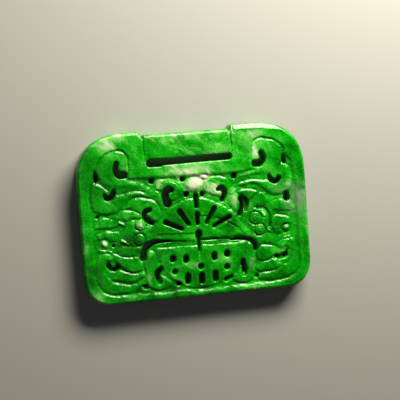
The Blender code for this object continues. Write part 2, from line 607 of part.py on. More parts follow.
def build_medallion(collection):
    """The dome with its inner panel and beam, and the bowl under it."""
    plate("dome", [
        *corner(MIDDLE, DOME_BASE, DOME_RIGHT, 0),
        *corner(MIDDLE, DOME_BASE, DOME_LEFT, 1)[1:],
    ], DOME_LEVEL, collection)
    arch = corner(*PANEL_CORNER, PANEL_ARCH, 0)
    plate("dome_panel", [*arch, Vector(PANEL_CORNER)], PANEL_LEVEL, collection)
    plate("beam", [Vector(point) for point in BEAM], BEAM_LEVEL, collection)
    plate("bowl", [
        *corner(MIDDLE, BOWL_LEFT_TOP, BOWL_LEFT, 2)[:-1],
        *corner(MIDDLE, BOWL_RIGHT_TOP, BOWL_RIGHT, 3),
    ], BOWL_LEVEL, collection)


def build_relief(collection):
    """Everything else that is left standing on the sunk ground."""
    for name, (level, points) in PLATES.items():
        plate(name, spline(points, SPLINE_STEPS, closed=True), level, collection)
    for name, (level, points) in BANDS.items():
        plate(name, stroke(points), level, collection)
    for name, place in BOSSES.items():
        boss(name, place, collection)


def build_cuts(collection):
    """Cutters for the lines and pits, and for every opening right through the slab."""
    high = THICKNESS + CUT_MARGIN
    for name, (level, points) in PITS.items():
        prism(name, [stroke(points)], level, high, collection)
    outlines = [
        stroke_outline([Vector(point) for point in points])
        for points in STRAIGHT_OPENINGS.values()
    ]
    outlines += [stroke(points) for points in CURVED_OPENINGS.values()]
    prism("openings", outlines, -CUT_MARGIN, high, collection)


def main():
    clear_scene()
    pendant = new_collection("jade_lock_pendant")
    sinking = new_collection("cutters_sinking")
    relief = new_collection("standing_relief")
    cutting = new_collection("cutters_carving")
    slab = build_slab(pendant)
    slab.data.materials.append(jade_material())
    build_sinking(sinking)
    build_medallion(relief)
    build_relief(relief)
    build_cuts(cutting)
    boolean(slab, "DIFFERENCE", sinking)
    boolean(slab, "UNION", relief)
    boolean(slab, "DIFFERENCE", cutting)
    for helpers in (sinking, relief, cutting):
        hide_helpers(helpers)


main()
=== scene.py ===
"""Looks of the carved jade lock pendant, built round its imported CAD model.

One carved mesh of the same size replaces the CAD plaque. Its face is a relief: a level
for every point of a grid, made from the rim, the sunk ground, and the forms, eyes,
grooves and pits on it. The mesh is fine where the face bends and coarse where it is
even, and walls run down from its edges to the flat back. Layout places are in
millimetres, x from the middle line, y up from the lower edge, and carved face to +Z.
"""

import math

import bpy
import numpy as np
from mathutils import Matrix, Vector
from mathutils.geometry import delaunay_2d_cdt


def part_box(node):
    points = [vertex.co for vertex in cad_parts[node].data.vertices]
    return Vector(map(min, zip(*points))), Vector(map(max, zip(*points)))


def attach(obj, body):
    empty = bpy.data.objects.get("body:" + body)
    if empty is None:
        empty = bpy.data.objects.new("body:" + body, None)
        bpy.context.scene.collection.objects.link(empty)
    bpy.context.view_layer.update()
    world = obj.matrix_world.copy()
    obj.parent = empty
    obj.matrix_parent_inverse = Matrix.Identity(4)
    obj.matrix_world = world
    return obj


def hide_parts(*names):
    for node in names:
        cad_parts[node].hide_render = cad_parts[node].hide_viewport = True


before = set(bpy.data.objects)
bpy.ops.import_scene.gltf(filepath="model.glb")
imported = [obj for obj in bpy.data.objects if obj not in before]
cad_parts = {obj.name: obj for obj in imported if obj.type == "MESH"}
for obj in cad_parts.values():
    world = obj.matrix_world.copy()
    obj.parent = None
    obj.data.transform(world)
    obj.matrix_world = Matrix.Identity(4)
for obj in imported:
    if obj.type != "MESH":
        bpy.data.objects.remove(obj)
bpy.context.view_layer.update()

NODE = "lock_pendant"
MM = 0.001
LOW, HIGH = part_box(NODE)
WIDTH = (HIGH.x - LOW.x) / MM
HEIGHT = (HIGH.y - LOW.y) / MM
THICKNESS = (HIGH.z - LOW.z) / MM

# -------- carving sizes, mm

GRID = 0.13  # spacing of the points on the face
EVEN = 0.0108  # a two by two block that bends less than this is one cell
SNAP = 0.3  # share of the spacing within which a point moves onto the cut line
GROUND = 3.84  # level of the sunk ground
RIM_BEVEL = 0.6  # run of the bevel round the rim's inner edge
RIM_SLOPE = 0.6  # fall of that bevel over its run
WORN_RUN = 0.45  # how far the face falls away round an opening
WORN_DEPTH = 0.14  # how deep it has fallen at the opening's edge
GROOVE = 0.38  # how far the groove round a form opens out, as a share of its shoulder
GROOVE_ROOM = 0.8  # room left round a shape for its groove
LEAN = 0.7  # how much wider a form's shoulder is where it faces away from the bar
SIDE_LIFT = 0.12  # how much shallower the groove is where it runs up or down
CROWN = 0.17  # how far a form's top falls from its middle to its shoulder
LOBE_HALF = 1.5  # run of that fall on an outlined form
EYE_TOP = 0.02  # how far the middle of an eye lies under the face
EYE_FALL = 0.18  # how far its low dome falls to its rim
EYE_RING = (0.14, 0.58, 0.12)  # depth of the ring in an eye, its place and spread in radii
EYE_EDGE = (0.30, 1.04, 0.14)  # the same for the ring round the eye
WANDER = 0.045  # how far the carver's outlines wander
POLISH = 0.012  # unevenness of the polished faces
TOOLING = 0.022  # roughness left by the tools in the sunk parts
TOOLED = 0.25  # how far below the top that roughness is full
BROAD, MIDDLING, FINE = 60, 30, 6  # smoothing passes of the random unevenness
LIGHT_SHADE_PASSES = 12  # smoothing passes of the face that high points stand proud of; how far they stand proud is painted into the colour, lighter on crests as painted highlight and some wear, darker in grooves as painted shade
EDGE = 0.17  # rounding of the pierced edges
OUTER_REACH = 2.5 * EDGE  # a wall this near the silhouette is on it
FRONT_ROUND = 0.75  # rounding of the silhouette's front edge
BACK_ROUND = 0.35  # height of the rounding of the silhouette's back edge
BACK_STEP = 2.0  # spacing of the points inside the flat back
RIGHT_BEVEL, LEFT_BEVEL = 1.1, 0.7  # flat bevels on the shoulders beside the bar
BEVEL_SLOPE = 0.6  # fall of those bevels over their run
BAR_TOP = 35.7
BAR_LEFT, BAR_RIGHT = -10.0, 8.5
NICK_DEPTH = 0.55
TOP_CORNER = (12.0, 11.5, 2.6)  # reach along X, reach along Y, superellipse power
BOTTOM_CORNER = (5.8, 6.2, 2.2)
CORNER_STEPS = 24
PATH_STEPS = 6  # steps between two points of a smooth path
LOBE_STEPS = 5  # and between two points of a smooth outline
STEEP_LEAST = 1e-6  # least steepness that a slope is divided by


def corner(centre_x, centre_y, shape, quadrant):
    """A quarter superellipse; quadrant 0 runs from +X round to +Y."""
    turn = (quadrant + np.arange(CORNER_STEPS + 1) / CORNER_STEPS) * math.pi / 2
    unit = np.column_stack([np.cos(turn), np.sin(turn)])
    away = np.sign(unit) * np.abs(unit) ** (2 / shape[2])
    return (centre_x, centre_y) + np.array(shape[:2]) * away


def spline(points, steps=PATH_STEPS, closed=False):
    """Rows on a smooth Catmull-Rom line through these rows of numbers."""
    knots = np.array(points, float)
    if len(knots) < 3:
        return knots
    if closed:
        padded = np.vstack([knots[-1:], knots, knots[:2]])
    else:
        padded = np.vstack([2 * knots[0] - knots[1], knots, 2 * knots[-1] - knots[-2]])
    found = []
    for before, start, end, after in zip(padded, padded[1:], padded[2:], padded[3:]):
        for t in np.arange(steps) / steps:
            found.append(0.5 * (
                2 * start
                + (end - before) * t
                + (2 * before - 5 * start + 4 * end - after) * t ** 2
                + (3 * start - before - 3 * end + after) * t ** 3
            ))
    if not closed:
        found.append(knots[-1])
    return np.array(found)


def lobe(*points):
    """A smooth closed outline through these points."""
    return spline(points, LOBE_STEPS, closed=True)


# -------- layout

# The inner edge of the rim and of the plain panel round the cord slot, a closed
# smooth line. Round the two top curls it runs under them.
FIELD = [
    (-20.9, 2.7), (-19.2, 2.05), (-16.5, 1.75), (-13.2, 1.75), (-11, 1.6), (-9, 1.47), (-7.2, 1.47),
    (-5.2, 1.67), (-2.8, 1.67), (-1.5, 1.35), (1, 1.25), (3, 1.28), (5.2, 1.4), (6.8, 1.6), (8.2, 1.35),
    (10.6, 1.33), (12.8, 1.6), (14.4, 1.42), (17, 1.55), (19.2, 1.85), (20.8, 2.4), (22, 3.9),
    (22.5, 6.2), (22.6, 12), (22.5, 18), (22.6, 23), (22.2, 26.6), (21.3, 28.6), (20.2, 29.6),
    (19, 28.6), (16.6, 27.4), (14.2, 26.9), (12.2, 26.45), (9, 26.15), (4, 26.15), (-4, 26.3),
    (-9, 26.5), (-13, 26.65), (-15.6, 27.2), (-18.2, 27.6), (-20.2, 28.9), (-21.2, 29.2), (-22, 27.4),
    (-22.5, 24.5), (-22.6, 17), (-22.6, 10), (-22.4, 5.6), (-21.9, 3.9),
]

# Openings: (x, y, width) along each. A single entry is a round hole.
STRAIGHT_OPENINGS = {
    "cord_slot": [(-9.1, 29.65, 1.75), (-6.9, 29.6, 1.75), (-6.4, 29.7, 1.5), (8.2, 29.75, 1.4)],
    "crown_slot": [(0.3, 21.9, 1), (0.3, 19.6, 1)],
    "ray_far_left": [(-3.3, 15, 0.9), (-6.7, 16.7, 1.1)],
    "ray_left": [(-1.7, 15.9, 0.9), (-3.5, 18.8, 1.15)],
    "ray_middle": [(0.3, 15.9, 0.9), (0.3, 17.9, 1.1)],
    "ray_right": [(2.3, 15.9, 0.9), (4.1, 18.8, 1.15)],
    "ray_far_right": [(3.9, 15, 0.9), (7.3, 16.7, 1.1)],
    "keyhole": [(0.3, 13.7, 1.5), (0.3, 13.3, 1.5), (0.3, 12.6, 0.8), (0.3, 10.1, 0.65)],
    "bowl_left_outer": [(-5.7, 8.8, 1.45), (-5.7, 8.65, 1.45)],
    "bowl_left_inner": [(-2.85, 8.75, 1.3), (-2.85, 8.1, 1.3)],
    "bowl_right_inner": [(3.45, 8.75, 1.3), (3.45, 8.1, 1.3)],
    "bowl_right_outer": [(6.3, 8.8, 1.45), (6.3, 8.65, 1.45)],
    "bowl_lower_left": [(-2.75, 4.7, 1.3), (-2.75, 3.5, 1.3)],
    "bowl_lower_middle": [(0.3, 4.5, 1.25), (0.3, 3.3, 1.25)],
    "bowl_lower_right": [(3.35, 4.7, 1.3), (3.35, 3.5, 1.3)],
    "pit_left": [(-5, 3.35, 0.9), (-4.6, 3.15, 0.75)],
    "pit_right": [(5.4, 3.15, 0.5), (6.2, 3.4, 0.6)],
    "valley_left": [(-12.3, 3.3, 0.5), (-11.9, 3.5, 0.65)],
    "valley_right": [(12.5, 3.25, 0.5), (12.8, 3.25, 0.4)],
    "bead_hole_left": [(-9.1, 25.8, 1.25)],
    "bead_hole_right": [(9, 25.45, 1.25)],
    "pearl_hole_upper": [(-2.3, 25.7, 1.25)],
    "pearl_hole_left": [(-1.75, 22.35, 1.25)],
    "pearl_hole_right": [(1.8, 22.15, 1.2)],
    "nape_hole": [(-18.3, 12.7, 0.6)],
}
CURVED_OPENINGS = {
    "curl_left": [(-16.35, 30.1, 1.1), (-16.6, 28.8, 1.25), (-16, 27.65, 1.55), (-14.8, 27.55, 1.5)],
    "curl_right": [(15.4, 29.9, 1.25), (15.75, 28.9, 1.4), (15.1, 27.8, 1.65), (13.9, 27.75, 1.5)],
    "eyelet_left": [(-21.1, 28.6, 0.45), (-20.95, 27.6, 0.95), (-21, 26.8, 0.8)],
    "eyelet_right": [(20.2, 29, 0.4), (20.3, 28.2, 0.95), (20.55, 27.6, 0.85)],
    "crescent_left": [(-17.35, 24.15, 1), (-17.9, 23.2, 1.3), (-18.9, 22.9, 1.1), (-19.4, 23.6, 0.8)],
    "crescent_right": [(16.9, 24.7, 0.9), (17.3, 23.9, 1.15), (18.35, 23.5, 1.15), (19, 24.2, 1.1)],
    "comma_left": [
        (-4.95, 23.5, 1.1), (-5.6, 23.7, 1.4), (-6.3, 22.8, 1.45), (-6.3, 21.6, 1.5),
        (-5.9, 20.7, 1.75),
    ],
    "comma_right": [
        (5.25, 22.85, 0.95), (6, 23.05, 1.3), (6.65, 22.3, 1.25), (6.5, 21.3, 1.2), (6.1, 20.6, 1.25),
    ],
    "hook_left": [
        (-10, 19.7, 1.05), (-10.9, 19.4, 1.2), (-11.15, 18.5, 1.15), (-10.4, 17.4, 1.15),
        (-9.6, 16.8, 0.9),
    ],
    "hook_right": [(10.1, 20.4, 1.15), (10.4, 19.4, 1), (10.2, 18.2, 1.15), (9.75, 17.1, 1.05)],
    "drop_right": [(20.45, 20.5, 1.3), (20.5, 19.7, 1.55)],
    "leg_left": [
        (-12.1, 9.5, 1.4), (-11.8, 10.9, 1.35), (-10.8, 12.1, 1.5), (-9.4, 12.7, 1.1),
        (-7.6, 12.7, 0.7), (-6, 12.6, 0.45),
    ],
    "leg_right": [
        (7.3, 11.7, 0.4), (9.3, 11.75, 0.75), (11.2, 11.5, 1), (12.45, 10.6, 1.15), (12.75, 9.2, 0.95),
    ],
    "foot_comma_left": [(-8.6, 6.8, 1.15), (-9.3, 6, 1.4), (-9.3, 4.8, 0.95)],
    "foot_comma_right": [(9.7, 6.75, 1.15), (9.7, 6.1, 1.15), (10, 5.2, 1), (9.9, 4.6, 0.85)],
    "heart_left": [(-18.45, 7.6, 0.85), (-17.75, 8.15, 1.1)],
    "heart_right": [(17.2, 7.15, 0.9), (17.9, 6.9, 0.75)],
    "slit_right": [(19.75, 8.2, 0.4), (19.55, 7.3, 0.5), (19.1, 6.8, 0.45)],
}

# Drilled and gouged pits that don't go through: depth, and (x, y, width) along each.
PITS = {
    "bowl_pit_1": (1.25, [(-5.45, 5.85, 1.4)]),
    "bowl_pit_2": (1.25, [(0.3, 6.5, 1.4)]),
    "bowl_pit_3": (1.25, [(6.05, 5.85, 1.4)]),
    "heart_pit_left": (1.3, [(-19.7, 8.6, 1.1), (-19.1, 7.9, 1.1)]),
    "heart_pit_right": (0.9, [(17.9, 6.9, 1.3), (19.3, 7.2, 1.4)]),
    "foot_pit_left": (1, [(-9.1, 4.6, 1.3), (-8.9, 4, 1.2)]),
    "foot_pit_right": (1, [(9.9, 4.9, 1.5), (9.85, 4.2, 1.5)]),
    "corner_pit": (0.6, [(-21.3, 19.1, 0.9)]),
    "hook_pit_right": (0.9, [(11.2, 20.3, 0.7), (11.5, 19.2, 1), (11.2, 17.9, 0.8)]),
    "valley_pit_left": (0.7, [(-12.7, 3.5, 0.6), (-11.9, 3.2, 1.1)]),
    "valley_pit_right": (0.7, [(12.5, 3.2, 0.9)]),
    "bowl_valley_left": (0.7, [(-4.9, 3.25, 1)]),
    "bowl_valley_right": (0.8, [(5.8, 3.2, 1.2), (7, 3.6, 0.8)]),
}

MIDDLE = 0.3  # x of the medallion's middle line

# What stands on the ground, from the back to the front: level of the top, level of the
# groove round it, run of the shoulder, and a shape. Rows of two numbers are a closed
# outline, rows of three are (x, y, width) along a stroke, and a single tuple is an
# oval: x, y, half its width, half its height.
FORMS = {
    # The medallion: an arched top with an inner panel and a beam.
    "dome": (4.12, 3.74, 0.3, np.vstack([
        corner(MIDDLE, 12.5, (10.6, 8.95, 1.7), 0), corner(MIDDLE, 12.5, (9.9, 8.95, 2.05), 1),
    ])),
    "dome_panel": (4.14, 3.93, 0.22, np.vstack([
        corner(0.95, 12.3, (9.6, 5.15, 1.5), 0), [(0.95, 12.3)],
    ])),
    "beam": (4.14, 3.92, 0.22, np.array([
        (-9.2, 12.2), (-0.4, 12), (-0.4, 13.75), (-4.5, 13.95), (-9, 14.2),
    ])),
    # Cloud scrolls and the pearl over the medallion.
    "neck_left": (4.05, 3.76, 0.35, [
        (-8.3, 23.2, 0.9), (-7.6, 21.5, 1.5), (-7.7, 19.3, 1.9), (-8.5, 17.9, 1.3),
    ]),
    "neck_right": (4.08, 3.76, 0.35, lobe(
        (7.3, 22.8), (8.6, 23.1), (9.8, 22.3), (9.7, 20.6), (9.3, 18.9), (9.1, 17.6), (8.3, 18.3),
        (7.5, 19.6), (7, 21),
    )),
    "cloud_left": (4.12, 3.76, 0.35, lobe(
        (-8.3, 23.9), (-7.9, 25.2), (-7, 25.95), (-5.6, 26.05), (-4.2, 25.75), (-3.1, 25.1),
        (-2.5, 24.1), (-2.5, 22.9), (-2.9, 21.9), (-3.9, 21.35), (-5, 21.1), (-5.9, 21.8), (-6.7, 22.6),
        (-7.3, 23.4),
    )),
    "cloud_right": (4.14, 3.76, 0.35, lobe(
        (2.15, 24.6), (2.6, 25.3), (3.7, 25.65), (5.3, 25.75), (6.8, 25.4), (7.9, 24.6), (8.2, 23.4),
        (7.6, 22.6), (6.6, 21.6), (5.6, 21), (4.4, 21.35), (3.1, 22), (2.2, 22.8), (2, 23.7),
    )),
    "knob": (4.1, 3.75, 0.5, (2.35, 25.7, 0.85, 0.6)),
    "pearl": (4.2, 3.66, 0.9, (0.05, 24.2, 2, 1.8)),
    # Upper wings, the lowest feather first.
    "feather_left_3": (4.12, 3.7, 0.5, lobe(
        (-15.9, 20.1), (-15, 21.2), (-13.6, 22.2), (-11.8, 22.6), (-10.2, 22.3), (-8.8, 21.6),
        (-7.8, 20.4), (-7.35, 18.8), (-7.8, 17.4), (-8.8, 16.7), (-9.8, 17), (-10.6, 18), (-11.8, 18.4),
        (-12.6, 19), (-14.2, 19.8),
    )),
    "feather_left_2": (4.14, 3.72, 0.5, lobe(
        (-9, 22.3), (-9.8, 23), (-11, 23.65), (-12.6, 24), (-14.4, 23.85), (-16, 23.5), (-17.4, 23.6),
        (-18.4, 24.4), (-19.3, 25.3), (-20.4, 26.2), (-21.5, 26.2), (-22.3, 25.3), (-22.6, 23.5),
        (-22.5, 21.5), (-21.9, 20.1), (-20.8, 19.4), (-18.8, 19.2), (-16.9, 19.5), (-15.8, 20.5),
        (-14.9, 21.6), (-13.6, 22.45), (-12, 22.65), (-10.2, 22.1),
    )),
    "feather_left_1": (4.13, 3.85, 0.6, lobe(
        (-8.2, 22.3), (-8.9, 23.7), (-10.2, 25), (-11.8, 25.9), (-13.4, 26.35), (-14.3, 26.8),
        (-13.95, 28.2), (-13.85, 29.8), (-13.95, 31.4), (-14.6, 32.4), (-15.8, 32.85), (-17.4, 32.7),
        (-19, 31.9), (-20.3, 30.5), (-20.8, 28.9), (-20.5, 27.2), (-19.7, 25.9), (-18.6, 25.1),
        (-17.2, 24.8), (-15.4, 24.75), (-13.6, 24.6), (-12, 24.15), (-10.6, 23.4), (-9.3, 22.5),
    )),
    "curl_rib_left": (4.2, 3.98, 0.2, [
        (-14.2, 27.8, 0.35), (-14.15, 29.8, 0.45), (-14.3, 31.1, 0.45), (-15, 32.1, 0.45),
        (-16.3, 32.45, 0.35),
    ]),
    "feather_right_3": (4.12, 3.7, 0.5, lobe(
        (9.3, 22), (10.8, 22.45), (12.6, 22.3), (14.1, 21.6), (13.6, 20.7), (12.4, 19.9), (11.4, 19.8),
        (10.7, 20.9), (9.8, 21.4),
    )),
    "feather_right_2": (4.14, 3.72, 0.5, lobe(
        (9.4, 23.4), (10.7, 24.05), (12.3, 24.4), (13.9, 24.35), (15.5, 23.95), (17, 24), (18.2, 24.7),
        (18.7, 25.6), (18.9, 26.6), (19.8, 27.25), (20.9, 27), (21.8, 25.9), (22.1, 24.2), (21.9, 22.5),
        (21.3, 21.2), (20.2, 20.55), (18.8, 20.25), (17.4, 20.4), (16.1, 21.2), (15, 22.2),
        (13.7, 22.95), (12, 23.15), (10.6, 22.95),
    )),
    "feather_right_1": (4.13, 3.85, 0.6, lobe(
        (9.6, 24.9), (10.7, 25.75), (12.2, 26.2), (13.6, 26.6), (13.1, 27.9), (13.15, 29.6),
        (13.2, 31.4), (13.9, 32.7), (15.3, 33.15), (17, 33), (18.8, 32.3), (20, 31.1), (20.4, 29.8),
        (20, 28.3), (19.2, 27), (18.2, 25.9), (17, 25.2), (15.2, 25.1), (13.2, 25.15), (11.4, 24.9),
    )),
    "curl_rib_right": (4.2, 3.98, 0.2, [
        (13.45, 30.9, 0.3), (13.95, 32.2, 0.4), (15.3, 32.7, 0.4), (17, 32.5, 0.4), (18.5, 31.9, 0.35),
        (19.6, 30.9, 0.3),
    ]),
    # The bats: tail lobes, heads, brows and snouts.
    "back_left": (4.12, 3.7, 0.32, lobe(
        (-22, 17.4), (-21.4, 18.3), (-20.2, 18.9), (-18.9, 18.75), (-17.9, 18.5), (-17, 19),
        (-16.8, 17.9), (-16.8, 16.7), (-17.9, 16.3), (-19.6, 16.3), (-21.2, 16.3), (-22.1, 16.5),
    )),
    "haunch_left": (4.14, 3.72, 0.35, lobe(
        (-21.6, 15.2), (-20.7, 15.75), (-19.6, 16.05), (-18.3, 15.9), (-16.8, 15.75), (-16.6, 14.9),
        (-17.2, 13.9), (-18.2, 13.4), (-19.3, 13.6), (-20.2, 14), (-21.4, 14.1),
    )),
    "coil_left": (4, 3.76, 0.35, [
        (-21.9, 13.6, 0.6), (-21.8, 12.4, 0.9), (-20.7, 11.7, 0.9), (-19.6, 11.7, 0.8),
    ]),
    "head_left": (4.06, 3.72, 0.4, lobe(
        (-15.8, 15.6), (-15.2, 16.9), (-14.1, 17.8), (-12.8, 17.9), (-11.7, 17.4), (-10.9, 16.5),
        (-9.8, 16), (-9.5, 15.2), (-10.2, 14.2), (-11, 13), (-12.1, 12.1), (-13.8, 12.1), (-15, 12.8),
        (-15.8, 14),
    )),
    "brow_left": (4.14, 3.76, 0.34, lobe(
        (-15.9, 19.9), (-14.9, 20.15), (-13.4, 19.8), (-12.1, 18.95), (-11.8, 18.2), (-12.9, 17.9),
        (-14.1, 18.1), (-15, 17.6), (-15.8, 17.8), (-16.1, 18.7),
    )),
    "cheek_left": (4.18, 3.82, 0.3, [(-16.8, 17.5, 0.6), (-16.2, 17.2, 0.8), (-15.6, 16.8, 0.6)]),
    "chin_left": (4.14, 3.82, 0.3, [(-16.5, 13.6, 0.6), (-15.8, 13.1, 0.7), (-15.1, 12.7, 0.5)]),
    "bead_left": (4.2, 3.66, 0.9, (-20.15, 13.15, 0.95, 0.92)),
    "tuft_left": (4.15, 3.8, 0.35, [(-19.3, 11.6, 0.6), (-18.7, 11.1, 0.9)]),
    "back_right": (4.08, 3.76, 0.35, lobe(
        (16.6, 19.1), (18.2, 19.55), (19.9, 19.5), (21.2, 18.9), (22.2, 17.6), (21.9, 16.8),
        (20.4, 16.7), (18.6, 16.8), (17.2, 17.1), (16.6, 18),
    )),
    "haunch_right": (4.14, 3.72, 0.35, lobe(
        (16.8, 15.6), (17.8, 16.3), (19.1, 16.1), (20.5, 15.45), (20.9, 14.7), (20.6, 13.5),
        (19.9, 12.3), (18.8, 11.9), (17.6, 12), (16.8, 12.9), (16.5, 14.2),
    )),
    "bead_right": (4.2, 3.62, 0.7, (19.9, 13, 0.95, 0.9)),
    "head_right": (4.08, 3.72, 0.4, lobe(
        (11.4, 15.5), (11.9, 17.2), (13, 18.1), (14.4, 18), (15.4, 17.4), (16, 16), (16, 14.4),
        (15.6, 13.2), (14.9, 12.3), (13.9, 11.8), (12.9, 12.3), (11.8, 13.6),
    )),
    "cheek_right": (4.16, 3.82, 0.3, [(14.7, 16.9, 0.9), (15.2, 16.2, 0.9)]),
    "ear_right": (4.1, 3.76, 0.35, lobe(
        (12.9, 20.1), (13.8, 21.1), (14.8, 21.45), (15.9, 20.9), (16.5, 19.9), (16.2, 18.8),
        (15.2, 18.2), (13.8, 18.3), (13, 18.9),
    )),
    "chin_right": (4.14, 3.82, 0.3, [(16.3, 13.4, 0.7), (16, 12.9, 0.6), (17.5, 11.4, 0.4)]),
    # Lower wings, each feather lapping over the one above it.
    "plume_left_1": (4, 3.76, 0.35, lobe(
        (-18.2, 11.6), (-17.2, 12.3), (-16, 12.6), (-14.8, 12.3), (-13.7, 12), (-13.1, 11.2),
        (-13.2, 10.1), (-14.4, 9.7), (-16, 9.8), (-17.3, 10.5),
    )),
    "plume_left_2": (4.12, 3.72, 0.35, lobe(
        (-18.9, 11.1), (-17.8, 10.9), (-16.7, 10.3), (-15.2, 9.95), (-13.4, 9.9), (-12.6, 9),
        (-11.9, 8.2), (-11.8, 7.3), (-12.9, 6.7), (-14.3, 6.5), (-15.6, 6.8), (-16.8, 7.6),
        (-17.6, 8.5), (-18.4, 9.6),
    )),
    "plume_left_3": (4.12, 3.72, 0.35, lobe(
        (-19.2, 5.8), (-18.3, 6.6), (-17.4, 7.35), (-16.2, 7), (-14.8, 6.4), (-13.3, 6.4), (-11.9, 6.6),
        (-11.9, 5.6), (-13, 4.8), (-14.4, 4.3), (-16, 4.4), (-17.6, 4.8), (-18.8, 5.2),
    )),
    "plume_left_4": (4.14, 3.8, 0.35, lobe(
        (-12.4, 5), (-13.9, 4.2), (-15.5, 4), (-17.3, 4.45), (-18.9, 5.05), (-19.6, 5.8), (-20.4, 6.9),
        (-20.7, 8.2), (-20.2, 9.3), (-19.1, 9.3), (-18.5, 10.2), (-19.3, 11.1), (-20.7, 11.2),
        (-21.8, 10.5), (-22.4, 9), (-22.5, 6.8), (-22.2, 4.8), (-21.3, 3.3), (-19.9, 2.4), (-17.8, 2),
        (-15.4, 2.1), (-13.6, 2.6), (-12.6, 3.6),
    )),
    "plume_right_1": (4, 3.76, 0.35, lobe(
        (13.3, 10.9), (14, 11.6), (15, 12.2), (16.2, 12.4), (17.2, 11.5), (17.9, 10.6), (17.9, 9.5),
        (16.9, 9.2), (15.3, 9.5), (14.1, 9.7), (13.4, 10),
    )),
    "plume_right_2": (4.12, 3.72, 0.35, lobe(
        (12.2, 8.2), (12.9, 8.8), (13.7, 9.7), (14.7, 9.95), (16, 9.7), (17.2, 9.2), (17.3, 8.2),
        (16.8, 7.3), (15.9, 6.6), (14.6, 6.2), (13.4, 6.4), (12.5, 7),
    )),
    "plume_right_3": (4.12, 3.72, 0.35, lobe(
        (12.4, 4.8), (13.1, 5.7), (14.2, 6.1), (15.5, 6.35), (16.5, 6.7), (17.6, 6.1), (18.4, 5.4),
        (18.2, 4.5), (17.2, 4.1), (15.6, 3.9), (14.2, 3.9), (13, 4),
    )),
    "plume_right_4": (4.14, 3.8, 0.35, lobe(
        (12.5, 3.1), (13.8, 3.7), (15.6, 3.9), (17.3, 4.2), (18.5, 4.95), (19.8, 5.65), (20.6, 6.6),
        (20.5, 8), (19.7, 8.9), (18.4, 8.7), (17.7, 9.6), (18.6, 10.5), (20, 10.95), (21.4, 10.7),
        (22.2, 9.3), (22.4, 7), (22.3, 4.8), (21.5, 3.3), (19.9, 2.3), (17.6, 1.85), (15.3, 1.75),
        (13.5, 2.1),
    )),
    "tip_right": (4.1, 3.82, 0.3, [(19.4, 11, 0.6), (20.3, 11.1, 0.8), (20.9, 11.5, 0.6)]),
    # Feet of the arch, and the bowl of the medallion in front of them.
    "foot_left": (4.12, 3.66, 0.35, lobe(
        (-11.5, 10.2), (-10.5, 11.1), (-9.4, 10.4), (-9, 8.8), (-8.3, 7.5), (-8.2, 6.2), (-8.6, 5.6),
        (-7.6, 5), (-6.5, 4.1), (-6.2, 3.2), (-7, 2.4), (-8.5, 1.95), (-10.1, 2.1), (-11.3, 2.9),
        (-11.8, 4.3), (-11.9, 6.2), (-12.2, 7.6), (-12, 9),
    )),
    "foot_right": (4.12, 3.66, 0.35, lobe(
        (10.6, 10.3), (11.5, 10.8), (12.3, 10), (12.5, 8.4), (12.7, 6.8), (12.3, 5.2), (12.3, 3.9),
        (11.9, 2.8), (10.9, 2), (9.5, 1.8), (8.1, 2), (7.1, 2.8), (7.3, 3.9), (8.3, 4.8), (8.9, 5.9),
        (9.5, 7.2), (10.2, 8.2), (10.3, 9.3),
    )),
    "bowl": (4.12, 3.76, 0.32, np.vstack([
        corner(MIDDLE, 11.4, (9.7, 9.75, 2), 2), corner(MIDDLE, 10.95, (10.3, 9.3, 1.95), 3),
    ])),
}

# Ringed eyes of the bats: x, y, outer radius.
EYES = [(-12.2, 16.6, 1.15), (-12.65, 13.55, 1.25), (13.1, 15.85, 1.35), (14, 13.25, 1.2)]

# Grooves cut into the face: depth, and (x, y, width) along each.
GROOVES = {
    "nick_left": (0.4, [(-10.3, 35.6, 0.9), (-10.35, 33.6, 0.4), (-10.3, 31.2, 0.25)]),
    "nick_right": (0.4, [(8.85, 35.8, 0.9), (8.85, 33.4, 0.4), (8.9, 31.6, 0.25)]),
    "seam": (0.35, [(0.3, 10, 0.5), (0.3, 8.6, 0.5), (0.3, 7.9, 0.3)]),
    "bar_dash": (0.6, [(1, 12.3, 0.7), (3.9, 12.25, 0.65)]),
    "slit_left": (0.3, [(-6, 12.6, 0.4), (-2.6, 12.2, 0.4)]),
    "slit_right": (0.3, [(4, 12.1, 0.35), (7.3, 11.8, 0.4)]),
    "bowl_lip": (0.2, [(4.4, 11.6, 0.3), (6.9, 11.5, 0.3)]),
    "cloud_line_left": (0.16, [
        (-7.5, 24.2, 0.3), (-7, 25, 0.4), (-6.2, 25.45, 0.4), (-5, 25.45, 0.4), (-3.9, 25, 0.35),
        (-3.2, 24.3, 0.3),
    ]),
    "cloud_line_right": (0.16, [
        (2.6, 23.2, 0.3), (2.7, 24.3, 0.35), (3.5, 24.7, 0.4), (4.4, 24.45, 0.4), (5.1, 23.9, 0.3),
    ]),
    "panel_line": (0.12, [
        (0.5, 17.55, 0.3), (2.6, 17.3, 0.35), (5, 16.6, 0.35), (7.2, 15.5, 0.35), (8.9, 14.3, 0.3),
    ]),
    "arch_line": (0.2, [(6.9, 19.6, 0.35), (7.8, 18.6, 0.35), (8.8, 17.2, 0.35)]),
    "nape_right": (0.5, [
        (13.7, 18, 0.6), (15.4, 17.8, 0.7), (16.3, 16.4, 0.7), (16.35, 14.6, 0.5), (16, 13.2, 0.4),
    ]),
    "jaw_right": (0.25, [(16.8, 12.3, 0.4), (17.8, 11.2, 0.4)]),
    "mouth_left": (0.2, [(-13.4, 16.2, 0.3), (-12.8, 15.3, 0.4), (-11.8, 15, 0.4)]),
    "curl_lip_left": (0.1, [(-17.6, 30.4, 0.4), (-17.75, 28.6, 0.5), (-17, 26.9, 0.4)]),
    "curl_lip_right": (0.1, [(16.8, 30.6, 0.4), (17, 28.8, 0.5), (16.2, 27.2, 0.4)]),
}

